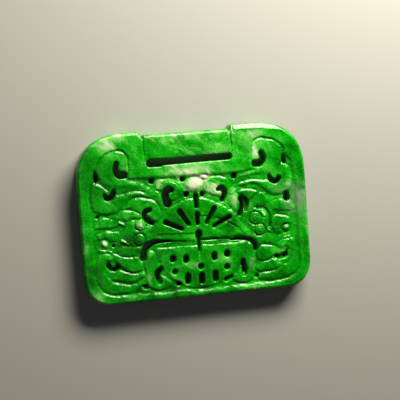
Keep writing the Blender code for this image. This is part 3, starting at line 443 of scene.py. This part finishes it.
# Fans of fine cuts: ends of the first cut, ends of the last one, and how many.
FANS = {
    "back_left": ((-20.9, 18.3), (-21.7, 16.8), (-17.6, 18.3), (-18.3, 16.6), 8),
    "haunch_left": ((-20.4, 15.5), (-20.9, 14.4), (-17.2, 15.3), (-17.9, 13.8), 8),
    "back_right": ((19.6, 19.1), (19.2, 17.4), (21.9, 17.6), (21.1, 17), 5),
    "haunch_right": ((17.2, 15.4), (19.6, 15), (17.1, 13.9), (18.4, 13.7), 4),
}
FAN_WIDTH = 0.3
FAN_DEPTH = 0.2

# Soft patches of paler colour: x, y, radius along x, radius along y, strength. Some are the stone's
# white and milky patches. Some are painted highlights, where the crest of a feather, the top of the
# right cloud and the seam under the keyhole catch the light. A strength below nothing is a deeper
# green, which darkens the lower parts and the side rims in places.
PALE_AND_HIGHLIGHT_PATCHES = [
    (0, 32, 17, 5, 0.22), (0, 24.3, 2.2, 1.8, 0.92), (2.3, 25.6, 1, 0.9, 0.9),
    (4.4, 22.9, 1.9, 1.7, 0.75), (-0.2, 27.7, 6, 1.4, 0.62), (-18.3, 34, 2.4, 1.5, 0.65),
    (-15.5, 35.8, 3, 1.2, 0.5), (14, 30.2, 0.9, 1.6, 0.8), (8.7, 20.4, 1.3, 2.4, 0.65),
    (-7.6, 24.8, 0.9, 1, 0.5), (-5, 25.9, 3, 0.5, 0.4), (-22.3, 2.6, 2.6, 1.5, 0.55),
    (-14, 1.2, 3, 0.7, 0.35), (-11.2, 5.5, 1, 2.2, 0.55), (-1.3, 6.9, 1.3, 1.2, 0.45),
    (11.8, 6.3, 1.2, 2.1, 0.3), (-24, 12.6, 0.9, 1.8, 0.55), (-8, 36, 1.5, 0.8, 0.3),
    (-20.2, 13.1, 0.8, 0.7, 0.7), (-12.2, 16.6, 0.9, 0.8, 0.4), (21.1, 22.8, 0.8, 1.3, 0.45),
    (15, 16.6, 0.6, 0.8, 0.5), (6, 31.8, 3, 1.4, 0.22), (18, 31, 2, 2, 0.25), (12.6, 18.9, 0.9, 1, 0.4),
    (21.6, 18, 0.8, 0.9, 0.4), (-14.6, 5.2, 1.5, 0.6, 0.25), (-6, 8.5, 3, 3, -0.16),
    (-17.5, 4.5, 5, 2.5, -0.2), (17.5, 4.5, 5, 2.5, -0.12), (-19, 22, 4, 3, 0.15),
    (5, 13.5, 4, 1.2, 0.18), (-20, 30.5, 2.5, 3, 0.1), (11, 30.5, 2.2, 4, 0.05),
    (-14.5, 30, 0.9, 2.6, 0.2), (-10.5, 10.2, 0.7, 0.9, 0.4), (16.5, 32.4, 3, 0.7, 0.15),
    (24.2, 26.5, 1.2, 6, -0.3), (-9, 2.2, 4, 1, -0.25), (22.6, 3.4, 1.6, 2.5, -0.3),
    (-22.6, 7, 1.5, 4, -0.25), (1, 34.7, 9, 1, 0.28), (13.6, 34.2, 3.4, 1.1, 0.38),
    (12, 26, 2, 0.8, 0.3), (5, 25.9, 2.6, 0.5, 0.3), (4.2, 7.6, 3, 1.2, 0.32),
    (6.9, 7.4, 1.2, 0.7, 0.3), (0.3, 8.9, 0.3, 0.8, 0.6), (-4.6, 7.2, 1.6, 0.8, 0.28),
    (12.6, 0.9, 3.4, 0.6, 0.4), (-9.4, 0.7, 3, 0.7, -0.25), (-24.1, 7, 0.9, 2.5, -0.3),
    (23.4, 8.5, 0.8, 3.6, 0.25), (19.5, 11.8, 1.8, 0.7, 0.3),
]

# Smoky patches, greyer and duller than the green round them, in the same terms.
SMOKY_PATCHES = [
    (21.6, 19.4, 2.6, 3.2, 0.6), (24, 18.2, 1.4, 4.6, 0.42), (18.6, 22, 1.8, 1.4, 0.35),
    (12, 18.4, 1.2, 1.4, 0.35), (-13, 26.2, 2.4, 1, 0.35), (12, 31.6, 1.6, 2.6, 0.35),
    (-22.6, 3.2, 1.8, 1.4, 0.3), (11.7, 6, 1.1, 2, 0.42), (-1.3, 6.8, 1.1, 0.9, 0.35),
]


# -------- layout geometry


def silhouette():
    """The plaque's outline, anticlockwise, with the bar between two nicks."""
    top_x, top_y = WIDTH / 2 - TOP_CORNER[0], HEIGHT - TOP_CORNER[1]
    low_x, low_y = WIDTH / 2 - BOTTOM_CORNER[0], BOTTOM_CORNER[1]
    # Down the right nick, along the bar and up the left nick.
    bar = np.array([
        (BAR_RIGHT + 0.75, HEIGHT),
        (BAR_RIGHT + 0.6, HEIGHT - 0.3),
        (BAR_RIGHT + 0.1, BAR_TOP - 0.6 * NICK_DEPTH),
        (BAR_RIGHT - 0.3, BAR_TOP),
        (BAR_LEFT, BAR_TOP),
        (BAR_LEFT - 0.35, BAR_TOP - NICK_DEPTH),
        (BAR_LEFT - 1.1, HEIGHT - 0.15),
        (BAR_LEFT - 1.3, HEIGHT),
    ])
    return np.vstack([
        corner(top_x, top_y, TOP_CORNER, 0),
        bar,
        corner(-top_x, top_y, TOP_CORNER, 1),
        corner(-low_x, low_y, BOTTOM_CORNER, 2),
        corner(low_x, low_y, BOTTOM_CORNER, 3),
    ])


def from_side(x, y, start, end):
    """The share of a side at which it is nearest, and the offsets from there."""
    run = end[:2] - start[:2]
    along = ((x - start[0]) * run[0] + (y - start[1]) * run[1]) / max(run @ run, 1e-12)
    along = np.clip(along, 0.0, 1.0)
    return along, x - start[0] - along * run[0], y - start[1] - along * run[1]


def from_stroke(x, y, path):
    """Distance outside a stroke of changing width, and half its width there."""
    outside, half = np.full(x.shape, np.inf), np.zeros(x.shape)
    for start, end in zip(path, path[1:] if len(path) > 1 else path):
        along, off_x, off_y = from_side(x, y, start, end)
        away = np.hypot(off_x, off_y)
        width = (start[2] + along * (end[2] - start[2])) / 2
        nearer = away - width < outside
        outside = np.where(nearer, away - width, outside)
        half = np.where(nearer, width, half)
    return outside, half


def from_outline(x, y, outline):
    """Distance outside a closed outline."""
    nearest = np.full(x.shape, np.inf)
    inside = np.zeros(x.shape, bool)
    for start, end in zip(outline, np.roll(outline, -1, axis=0)):
        _, off_x, off_y = from_side(x, y, start, end)
        nearest = np.minimum(nearest, off_x ** 2 + off_y ** 2)
        run_x, run_y = end - start
        if run_y:
            spans = (start[1] > y) != (end[1] > y)
            inside ^= spans & (x < start[0] + (y - start[1]) / run_y * run_x)
    return np.sqrt(nearest) * np.where(inside, -1.0, 1.0)


def from_shape(x, y, shape):
    """Distance outside any shape of the layout, roughly for an oval, and half its width."""
    if isinstance(shape, tuple):
        centre_x, centre_y, wide, high = shape
        least = min(wide, high)
        away = np.hypot((x - centre_x) / wide, (y - centre_y) / high)
        return (away - 1) * least, np.full(x.shape, least)
    if len(shape[0]) == 3:
        return from_stroke(x, y, spline(shape))
    return from_outline(x, y, shape), np.full(x.shape, LOBE_HALF)


def smooth_step(value):
    """0 below 0, 1 above 1, and smooth between."""
    value = np.clip(value, 0.0, 1.0)
    return value * value * (3 - 2 * value)


def blurred(values, times):
    """Values on the grid, smoothed with a 1-2-1 kernel both ways."""
    for _ in range(times):
        padded = np.pad(values, 1, "edge")
        across = (padded[:, :-2] + 2 * padded[:, 1:-1] + padded[:, 2:]) / 4
        values = (across[:-2] + 2 * across[1:-1] + across[2:]) / 4
    return values


def rising(values, times):
    """The unit direction in which smoothed values rise, as x and y parts."""
    slope_y, slope_x = np.gradient(blurred(values, times), GRID)
    steep = np.maximum(np.hypot(slope_x, slope_y), STEEP_LEAST)
    return slope_x / steep, slope_y / steep


def cloudy(shape, times, seed):
    """Soft random unevenness on the grid, spread evenly round 0 with a spread of 1."""
    values = blurred(np.random.default_rng(seed).standard_normal(shape), times)
    return values / values.std()


# -------- the relief


class Relief:
    """The carved face on a regular grid: distance into the stone, and level."""

    def __init__(self):
        across = 2 * math.ceil((WIDTH / 2 + 3 * GRID) / (2 * GRID))
        up = 2 * math.ceil((HEIGHT / 2 + 3 * GRID) / (2 * GRID))
        self.xs = np.arange(-across, across + 1) * GRID
        self.ys = HEIGHT / 2 + np.arange(-up, up + 1) * GRID
        self.x, self.y = np.meshgrid(self.xs, self.ys)
        self.edge = -from_outline(self.x, self.y, silhouette())
        self.inside = self.edge.copy()
        for path in STRAIGHT_OPENINGS.values():
            self.pierce(np.array(path, float))
        for path in CURVED_OPENINGS.values():
            self.pierce(spline(path))
        in_x, in_y = rising(self.inside, 1)
        self.out_x, self.out_y = -in_x, -in_y
        sway = cloudy(self.x.shape, MIDDLING, 3) + 0.6 * cloudy(self.x.shape, FINE, 4)
        self.wander = WANDER * sway
        self.level = self.carve()

    def window(self, shape):
        """The rows and columns that a shape and the groove round it can touch."""
        if isinstance(shape, tuple):
            points, room = np.array([shape[:2]]), GROOVE_ROOM + max(shape[2:])
        else:
            points = np.array(shape, float)
            room = GROOVE_ROOM + (points[:, 2].max() / 2 if points.shape[1] == 3 else 0.0)
        low, high = points.min(axis=0) - room, points.max(axis=0) + room
        columns = np.searchsorted(self.xs, (low[0], high[0]))
        rows = np.searchsorted(self.ys, (low[1], high[1]))
        return slice(*rows), slice(*columns)

    def pierce(self, path):
        """Takes an opening out of the stone."""
        part = self.window(path)
        outside, _ = from_stroke(self.x[part], self.y[part], path)
        self.inside[part] = np.minimum(self.inside[part], outside)

    def carve(self):
        """Level of the face at every point of the grid."""
        field = -from_outline(self.x, self.y, spline(FIELD, closed=True))
        bevel = THICKNESS - RIM_SLOPE * np.clip(field + RIM_BEVEL / 2, 0.0, RIM_BEVEL)
        level = blurred(np.where(field < RIM_BEVEL / 2, bevel, GROUND), 2)
        for top, foot, shoulder, shape in FORMS.values():
            self.stand(level, top, foot, shoulder, shape)
        for centre_x, centre_y, radius in EYES:
            self.ring(level, centre_x, centre_y, radius)
        for depth, path in GROOVES.values():
            self.cut(level, depth, path)
        for fan in FANS.values():
            for path in fan_cuts(*fan):
                self.cut(level, FAN_DEPTH, path)
        for depth, path in PITS.values():
            self.gouge(level, depth, path)
        level = blurred(level, 1)
        sunk = np.clip((THICKNESS - level) / TOOLED, 0.0, 1.0)
        polish = POLISH * cloudy(level.shape, BROAD, 1)
        level += polish + TOOLING * sunk * cloudy(level.shape, FINE, 2)
        level -= 2 * POLISH
        level -= WORN_DEPTH * np.clip(1 - self.inside / WORN_RUN, 0.0, 1.0) ** 2
        rounded = np.clip(FRONT_ROUND - self.edge, 0.0, FRONT_ROUND)
        level -= FRONT_ROUND - np.sqrt(FRONT_ROUND ** 2 - rounded ** 2)
        shoulders = THICKNESS - BEVEL_SLOPE * (bevel_width(self.x, self.y) - self.edge)
        return np.minimum(np.minimum(level, shoulders), THICKNESS)

    def stand(self, level, top, foot, shoulder, shape):
        """Leaves a form standing over what lies behind it, with a groove round it."""
        part = self.window(shape)
        outside, half = from_shape(self.x[part], self.y[part], shape)
        outside = outside + self.wander[part]
        out_x, out_y = rising(outside, 2)
        downhill = np.clip(-out_y, 0.0, 1.0)
        foot = foot + min(SIDE_LIFT, 0.4 * (top - foot)) * np.abs(out_x)
        run = np.minimum(shoulder * (1 + LEAN * downhill), half)
        rise = np.sin(np.clip(-outside / run, 0.0, 1.0) * math.pi / 2)
        crown = CROWN * (1 - np.clip(-outside / half, 0.0, 1.0)) ** 2
        raised = foot + (top - crown - foot) * rise
        behind = level[part]
        closeness = np.exp(-(outside / (GROOVE * shoulder)) ** 2)
        groove = behind - np.maximum(behind - foot, 0.0) * closeness
        level[part] = np.where(outside < 0, raised, groove)

    def ring(self, level, centre_x, centre_y, radius):
        """Leaves an eye standing: a low dome with a ring cut in it and one round it."""
        part = self.window((centre_x, centre_y, radius, radius))
        away = np.hypot(self.x[part] - centre_x, self.y[part] - centre_y) / radius
        dome = THICKNESS - EYE_TOP - EYE_FALL * away ** 2
        eye = np.where(away < 1, dome, level[part])
        for depth, place, spread in (EYE_RING, EYE_EDGE):
            eye -= depth * np.exp(-((away - place) / spread) ** 2)
        level[part] = eye

    def across(self, path):
        """The part of the grid round a path, and how near its middle each point is."""
        part = self.window(path)
        outside, half = from_stroke(self.x[part], self.y[part], spline(path))
        return part, np.clip(-outside / half, 0.0, 1.0)

    def cut(self, level, depth, path):
        """Cuts a fine groove, V shaped across."""
        part, share = self.across(path)
        level[part] -= depth * share

    def gouge(self, level, depth, path):
        """Sinks a pit with steep sides and a rounded floor."""
        part, share = self.across(path)
        level[part] -= depth * np.sqrt(1 - (1 - share) ** 2)

    def read(self, field, x, y):
        """A field's value at any points, from the four grid points round each."""
        across = np.clip((x - self.xs[0]) / GRID, 0, len(self.xs) - 1.001)
        up = np.clip((y - self.ys[0]) / GRID, 0, len(self.ys) - 1.001)
        i, j = across.astype(int), up.astype(int)
        s, t = across - i, up - j
        lower = field[j, i] * (1 - s) + field[j, i + 1] * s
        upper = field[j + 1, i] * (1 - s) + field[j + 1, i + 1] * s
        return lower * (1 - t) + upper * t


def fan_cuts(first_start, first_end, last_start, last_end, count):
    """The cuts of a fan, each a straight path thinning at both ends."""
    starts = np.linspace(first_start, last_start, count)
    ends = np.linspace(first_end, last_end, count)
    for start, end in zip(starts, ends):
        middle = (start + end) / 2
        yield [(*start, FAN_WIDTH / 2), (*middle, FAN_WIDTH), (*end, FAN_WIDTH / 2)]


def bevel_width(x, y):
    """Width of the flat bevel on the two shoulders."""
    # Each starts just past its nick and thins out along the shoulder.
    right = smooth_step((x - BAR_RIGHT - 0.5) / 0.4) * smooth_step((24.0 - x) / 7.0)
    left = smooth_step((BAR_LEFT - 0.9 - x) / 0.3) * smooth_step((x + 17.5) / 5.0)
    return (y > HEIGHT / 2) * (RIGHT_BEVEL * right + LEFT_BEVEL * left)


# -------- the mesh


def even_blocks(relief, inside):
    """Which two by two blocks of cells are whole and nearly flat."""
    level = np.pad(relief.level, 1, "edge")
    bend_x = level[1:-1, 2:] - 2 * relief.level + level[1:-1, :-2]
    bend_y = level[2:, 1:-1] - 2 * relief.level + level[:-2, 1:-1]
    bend = np.maximum(np.abs(bend_x), np.abs(bend_y))
    rough = (bend > EVEN) | (inside <= 0)
    rows, columns = (rough.shape[0] - 1) // 2, (rough.shape[1] - 1) // 2
    found = np.ones((rows, columns), bool)
    for j in range(3):
        for i in range(3):
            found &= ~rough[j:j + 2 * rows:2, i:i + 2 * columns:2]
    return found


# The points round a block as (row, column), its corners and the middles of its sides.
ROUND_BLOCK = [(0, 0), (0, 1), (0, 2), (1, 2), (2, 2), (2, 1), (2, 0), (1, 0)]


def block_faces(ring):
    """A block as one face, or a fan from the first middle point it uses.

    A middle point is used where the block's neighbour on that side is single cells.
    """
    middles = [place for place in (1, 3, 5, 7) if ring[place][1]]
    start = middles[0] if middles else 0
    points = [point for point, used in ring[start:] + ring[:start] if used]
    if not middles:
        return [tuple(points)]
    return [(points[0], a, b) for a, b in zip(points[1:], points[2:])]


def face_of(relief):
    """Points and polygons of the face, cut along the line EDGE inside the stone."""
    inside = relief.inside - EDGE
    x, y = relief.x.copy(), relief.y.copy()
    snap = np.abs(inside) < SNAP * GRID
    x[snap] += (inside * relief.out_x)[snap]
    y[snap] += (inside * relief.out_y)[snap]
    inside[snap] = 0.0
    ids = np.arange(inside.size).reshape(inside.shape)
    points = list(zip(x.ravel(), y.ravel()))
    value = inside.ravel()
    cuts = {}

    def cut(a, b):
        """The point where the side from a to b leaves the stone."""
        key = (min(a, b), max(a, b))
        if key not in cuts:
            share = value[a] / (value[a] - value[b])
            cuts[key] = len(points)
            points.append(tuple(p + share * (q - p) for p, q in zip(points[a], points[b])))
        return cuts[key]

    blocks = even_blocks(relief, inside)
    polygons = []
    coarse = np.pad(blocks, 1)
    for j, i in np.argwhere(blocks):
        polygons += block_faces([
            (ids[2 * j + up, 2 * i + along], (up + along) % 2 == 0 or not coarse[j + up, i + along])
            for up, along in ROUND_BLOCK
        ])

    corners = np.stack([ids[:-1, :-1], ids[:-1, 1:], ids[1:, 1:], ids[1:, :-1]], axis=-1)
    single = ~blocks.repeat(2, axis=0).repeat(2, axis=1)
    corners = corners[single]
    kept = value[corners] >= 0
    polygons += [tuple(cell) for cell in corners[kept.all(axis=1)]]
    for cell in corners[kept.any(axis=1) & ~kept.all(axis=1)]:
        polygon = []
        for a, b in zip(cell, np.roll(cell, -1)):
            if value[a] >= 0:
                polygon.append(a)
            if value[a] * value[b] < 0:
                polygon.append(cut(a, b))
        if len(polygon) >= 3:
            polygons.append(tuple(polygon))
    return np.array(points), polygons


def sides_of(polygon):
    """The directed sides of a polygon, a tuple of points."""
    return zip(polygon, polygon[1:] + polygon[:1])


def boundary_sides(polygons):
    """Directed sides that only one polygon has."""
    sides = set()
    for polygon in polygons:
        for a, b in sides_of(polygon):
            if (b, a) in sides:
                sides.remove((b, a))
            else:
                sides.add((a, b))
    return sorted(sides)


def wall_rows(level, outer):
    """Steps down a wall as (outward shift, levels), from the face to the back."""
    for turn in np.radians([45, 90]):
        yield EDGE * np.sin(turn), level - EDGE * (1 - np.cos(turn))
    back = np.where(outer, BACK_ROUND, EDGE)
    yield EDGE, (level - EDGE + back) / 2
    for turn in np.radians([0, 30, 60, 90]):
        yield EDGE * np.cos(turn), back * (1 - np.sin(turn))


def back_points(relief):
    """Evenly spaced points inside the flat back, clear of every edge."""
    across = np.arange(BACK_STEP - WIDTH / 2, WIDTH / 2, BACK_STEP)
    up = np.arange(BACK_STEP, HEIGHT, BACK_STEP)
    x, y = (grid.ravel() for grid in np.meshgrid(across, up))
    clear = relief.read(relief.inside, x, y) > BACK_STEP / 2
    return np.column_stack([x[clear], y[clear], np.zeros(clear.sum())])


def back_triangles(flat, sides):
    """Triangles of the flat back, which lies to the left of these directed sides."""
    made = delaunay_2d_cdt([Vector(point[:2]) for point in flat], sides, [], 0, 1e-7)
    triangles = [tuple(made[3][i][0] for i in triangle) for triangle in made[2]]
    owner = {side: triangle for triangle in triangles for side in sides_of(triangle)}
    ends = set(sides)
    found = set()
    waiting = [owner[side] for side in sides]
    while waiting:
        triangle = waiting.pop()
        if triangle not in found:
            found.add(triangle)
            waiting += [owner[b, a] for a, b in sides_of(triangle) if (a, b) not in ends]
    return [triangle[::-1] for triangle in sorted(found)]


def carve(name):
    """The whole plaque as one closed mesh object."""
    relief = Relief()
    points, polygons = face_of(relief)
    used = np.unique(np.concatenate([np.array(polygon) for polygon in polygons]))
    renumbered = np.full(len(points), -1)
    renumbered[used] = np.arange(len(used))
    points = points[used]
    faces = [tuple(renumbered[list(polygon)]) for polygon in polygons]
    level = relief.read(relief.level, points[:, 0], points[:, 1])
    vertices = [np.column_stack([points, level])]
    sides = boundary_sides(faces)
    rim = np.unique(np.array(sides))
    column = {vertex: index for index, vertex in enumerate(rim)}
    x, y = points[rim].T
    out = np.column_stack([relief.read(relief.out_x, x, y), relief.read(relief.out_y, x, y)])
    out /= np.maximum(np.hypot(*out.T), STEEP_LEAST)[:, None]
    outer = relief.read(relief.edge, x, y) < OUTER_REACH
    count, rings = len(points), [rim]
    for shift, row_level in wall_rows(level[rim], outer):
        vertices.append(np.column_stack([points[rim] + out * shift, row_level]))
        rings.append(np.arange(count, count + len(rim)))
        count += len(rim)
    steps = [(column[a], column[b]) for a, b in sides]
    for upper, lower in zip(rings, rings[1:]):
        faces += [(upper[j], upper[i], lower[i], lower[j]) for i, j in steps]
    flat = np.vstack([vertices[-1], back_points(relief)])
    back = rings[-1][0] + np.arange(len(flat))
    for triangle in back_triangles(flat, steps):
        faces.append(tuple(back[i] for i in triangle))

    vertices = np.vstack(vertices[:-1] + [flat])
    places = vertices * MM + ((LOW.x + HIGH.x) / 2, LOW.y, LOW.z)
    mesh = bpy.data.meshes.new(name)
    mesh.from_pydata(places.tolist(), [], [[int(i) for i in face] for face in faces])
    mesh.validate()
    mesh.shade_smooth()
    x, y, z = vertices.T
    # The pale field holds the stone's pale patches and a few painted highlights.
    add_field(mesh, "pale", patches(x, y, PALE_AND_HIGHLIGHT_PATCHES))
    add_field(mesh, "smoke", patches(x, y, SMOKY_PATCHES))
    # Painted light: how far the face stands above its smoothed self paints crests lighter, a painted
    # highlight with some wear, and grooves darker, painted shade.
    crest_light_groove_shade = relief.read(relief.level - blurred(relief.level, LIGHT_SHADE_PASSES), x, y)
    add_field(mesh, "crest_light_groove_shade", crest_light_groove_shade * np.clip(2 * z / THICKNESS, 0.0, 1.0))
    normals = np.zeros(3 * len(vertices))
    mesh.vertex_normals.foreach_get("vector", normals)
    normals = normals.reshape(-1, 3)
    normals[back] = (0.0, 0.0, -1.0)
    mesh.normals_split_custom_set_from_vertices(normals)
    return placed(name, mesh)


def placed(name, data):
    """A new object of the scene that shows this data."""
    made = bpy.data.objects.new(name, data)
    bpy.context.scene.collection.objects.link(made)
    return made


def patches(x, y, places):
    """Sum of soft oval patches."""
    found = np.zeros(len(x))
    for centre_x, centre_y, long, wide, strength in places:
        away = ((x - centre_x) / long) ** 2 + ((y - centre_y) / wide) ** 2
        found += strength * np.exp(-away)
    return found


def add_field(mesh, name, values):
    """One number at each vertex, for the material to read."""
    field = mesh.attributes.new(name, "FLOAT", "POINT")
    field.data.foreach_set("value", values.astype(np.float32))


# -------- materials


def fill(made, **sockets):
    """Sets the input sockets of a node, named with _ for a space."""
    for key, value in sockets.items():
        made.inputs[key.replace("_", " ")].default_value = value


def with_nodes(data, kind):
    """Turns on the nodes of a material or a world, and finds its node of this kind."""
    data.use_nodes = True
    return data.node_tree.nodes[kind]


def noise(tree, place, scale, detail, roughness, distortion):
    """The factor of a noise texture in the stone."""
    made = tree.nodes.new("ShaderNodeTexNoise")
    fill(made, Scale=scale, Detail=detail, Roughness=roughness, Distortion=distortion)
    tree.links.new(place, made.inputs["Vector"])
    return made.outputs["Fac"]


def ramp(tree, factor, stops):
    """Colours along a ramp of (place, colour) stops."""
    made = tree.nodes.new("ShaderNodeValToRGB")
    elements = made.color_ramp.elements
    while len(elements) < len(stops):
        elements.new(0.5)
    for element, (place, colour) in zip(elements, stops):
        element.position = place
        element.color = (*colour, 1.0)
    tree.links.new(factor, made.inputs["Fac"])
    return made.outputs["Color"]


def mixed(tree, factor, first, second):
    """Two colours mixed by a factor, each a socket."""
    made = tree.nodes.new("ShaderNodeMix")
    made.data_type = "RGBA"
    tree.links.new(factor, made.inputs[0])
    tree.links.new(first, made.inputs[6])
    tree.links.new(second, made.inputs[7])
    return made.outputs[2]


def total(tree, start, *parts):
    """A starting number plus the sum of (value, gain) parts."""
    for value, gain in parts:
        made = tree.nodes.new("ShaderNodeMath")
        made.operation = "MULTIPLY_ADD"
        tree.links.new(value, made.inputs[0])
        made.inputs[1].default_value = gain
        if isinstance(start, float):
            made.inputs[2].default_value = start
        else:
            tree.links.new(start, made.inputs[2])
        start = made.outputs[0]
    return start


def field_value(tree, name):
    """A number that the mesh holds at each point."""
    made = tree.nodes.new("ShaderNodeAttribute")
    made.attribute_name = name
    return made.outputs["Fac"]


def jade():
    """Polished jadeite: mottled greens, cloudy white patches, a waxy depth, with painted highlights on
    the crests and painted shade in the grooves.
    """
    material = bpy.data.materials.new("jade")
    shader = with_nodes(material, "Principled BSDF")
    tree = material.node_tree
    link = tree.links.new
    place = tree.nodes.new("ShaderNodeTexCoord").outputs["Object"]
    slanted = tree.nodes.new("ShaderNodeMapping")
    slanted.vector_type = "TEXTURE"
    fill(slanted, Rotation=(0.0, 0.0, math.radians(-35)), Scale=(1.6, 1.0, 1.0))
    link(place, slanted.inputs["Vector"])
    streaked = slanted.outputs["Vector"]

    cloud = noise(tree, streaked, 260.0, 6.0, 0.6, 0.5)
    wisps = noise(tree, streaked, 620.0, 6.0, 0.65, 0.7)
    grain = noise(tree, place, 2600.0, 4.0, 0.65, 0.0)
    crest_light_groove_shade = field_value(tree, "crest_light_groove_shade")
    pale = field_value(tree, "pale")

    # The crest field puts painted highlights on crests and painted shade in grooves into the green. The
    # pale field adds pale patches and a few painted highlights.
    depth = total(tree, -0.12, (cloud, 0.9), (grain, 0.35), (crest_light_groove_shade, 0.5), (pale, 0.35))
    green = ramp(tree, depth, [
        (0.34, (0.0, 0.11, 0.0)),
        (0.47, (0.0, 0.26, 0.0)),
        (0.60, (0.003, 0.44, 0.004)),
        (0.78, (0.12, 0.68, 0.08)),
    ])
    # Milky flecks of the stone, with painted highlights added along the crests and at the pale field's
    # highlight patches.
    milk_and_sheen_share = total(tree, -0.03, (pale, 0.55), (wisps, 1.0), (crest_light_groove_shade, 0.7))
    flecks_and_sheen = ramp(tree, milk_and_sheen_share, [(0.65, (0.0, 0.0, 0.0)), (1.0, (1.0, 1.0, 1.0))])
    milk = ramp(tree, flecks_and_sheen, [(0.0, (0.30, 0.66, 0.20)), (1.0, (0.80, 0.86, 0.66))])
    stone = mixed(tree, flecks_and_sheen, green, milk)
    smoke = total(tree, -0.45, (field_value(tree, "smoke"), 1.0), (wisps, 0.9))
    haze = ramp(tree, smoke, [(0.18, (0.0, 0.0, 0.0)), (0.78, (0.9, 0.9, 0.9))])
    grey = ramp(tree, wisps, [(0.35, (0.09, 0.22, 0.09)), (0.7, (0.26, 0.38, 0.24))])
    link(mixed(tree, haze, stone, grey), shader.inputs["Base Color"])

    fill(shader, Subsurface_Weight=0.2, Subsurface_Radius=(0.35, 1.0, 0.35))
    fill(shader, Subsurface_Scale=0.0005, IOR=1.6, Specular_IOR_Level=0.42)
    worn = total(tree, -0.3, (wisps, 0.25), (grain, 0.8))
    link(worn, shader.inputs["Roughness"])
    bump = tree.nodes.new("ShaderNodeBump")
    fill(bump, Strength=0.8, Distance=0.00007)
    link(total(tree, 0.0, (wisps, 1.0), (grain, 0.8)), bump.inputs["Height"])
    link(bump.outputs["Normal"], shader.inputs["Normal"])
    return material


def floor_material():
    """Plain pale paper."""
    material = bpy.data.materials.new("pale_floor")
    shader = with_nodes(material, "Principled BSDF")
    fill(shader, Base_Color=(0.45, 0.44, 0.43, 1.0), Roughness=0.85)
    return material


# -------- stage and light


def lay_floor():
    """A pale floor under the pendant."""
    reach = 1.5
    level = LOW.z - 0.00002
    mesh = bpy.data.meshes.new("floor")
    corners = [(-reach, -reach), (reach, -reach), (reach, reach), (-reach, reach)]
    mesh.from_pydata([(x, y, level) for x, y in corners], [], [(0, 1, 2, 3)])
    mesh.materials.append(floor_material())
    floor = placed("floor", mesh)


def add_area(name, place, size, power, colour=(1.0, 1.0, 1.0)):
    """A soft rectangular lamp aimed at the pendant."""
    lamp = bpy.data.lights.new(name, "AREA")
    lamp.shape = "RECTANGLE"
    lamp.size, lamp.size_y = size
    lamp.energy = power
    lamp.color = colour
    made = placed(name, lamp)
    made.location = place
    made.rotation_euler = (-Vector(place)).to_track_quat("-Z", "Y").to_euler()


def light_studio():
    """One broad window light low beyond the bar, and a dim even fill."""
    add_area("window", (0.075, 0.150, 0.095), (0.13, 0.06), 0.78, (1.0, 0.96, 0.79))
    add_area("overhead", (-0.20, -0.10, 0.60), (0.4, 0.4), 0.12)
    world = bpy.data.worlds.new("studio")
    shade = with_nodes(world, "Background")
    fill(shade, Color=(0.95, 0.97, 1.0, 1.0), Strength=0.025)
    bpy.context.scene.world = world


def place_camera():
    """Looks down on the carved face from its left, a little beyond its middle line."""
    lens = bpy.data.cameras.new("camera")
    lens.sensor_width = 36.0
    lens.lens = 104.0
    lens.clip_start = 0.01
    camera = placed("camera", lens)
    forward = Vector((0.195, -0.0795, -0.9776)).normalized()
    right = forward.cross(Vector((0.0887, 0.994, -0.063))).normalized()
    up = right.cross(forward)
    turn = Matrix((right, up, -forward)).transposed().to_4x4()
    camera.matrix_world = Matrix.Translation((-0.0474, 0.0224, 0.2474)) @ turn
    bpy.context.scene.camera = camera


# -------- main

pendant = carve("carved_plaque")
pendant.data.materials.append(jade())
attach(pendant, "root")
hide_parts(NODE)
lay_floor()
light_studio()
place_camera()
bpy.context.scene.view_settings.view_transform = "Standard"
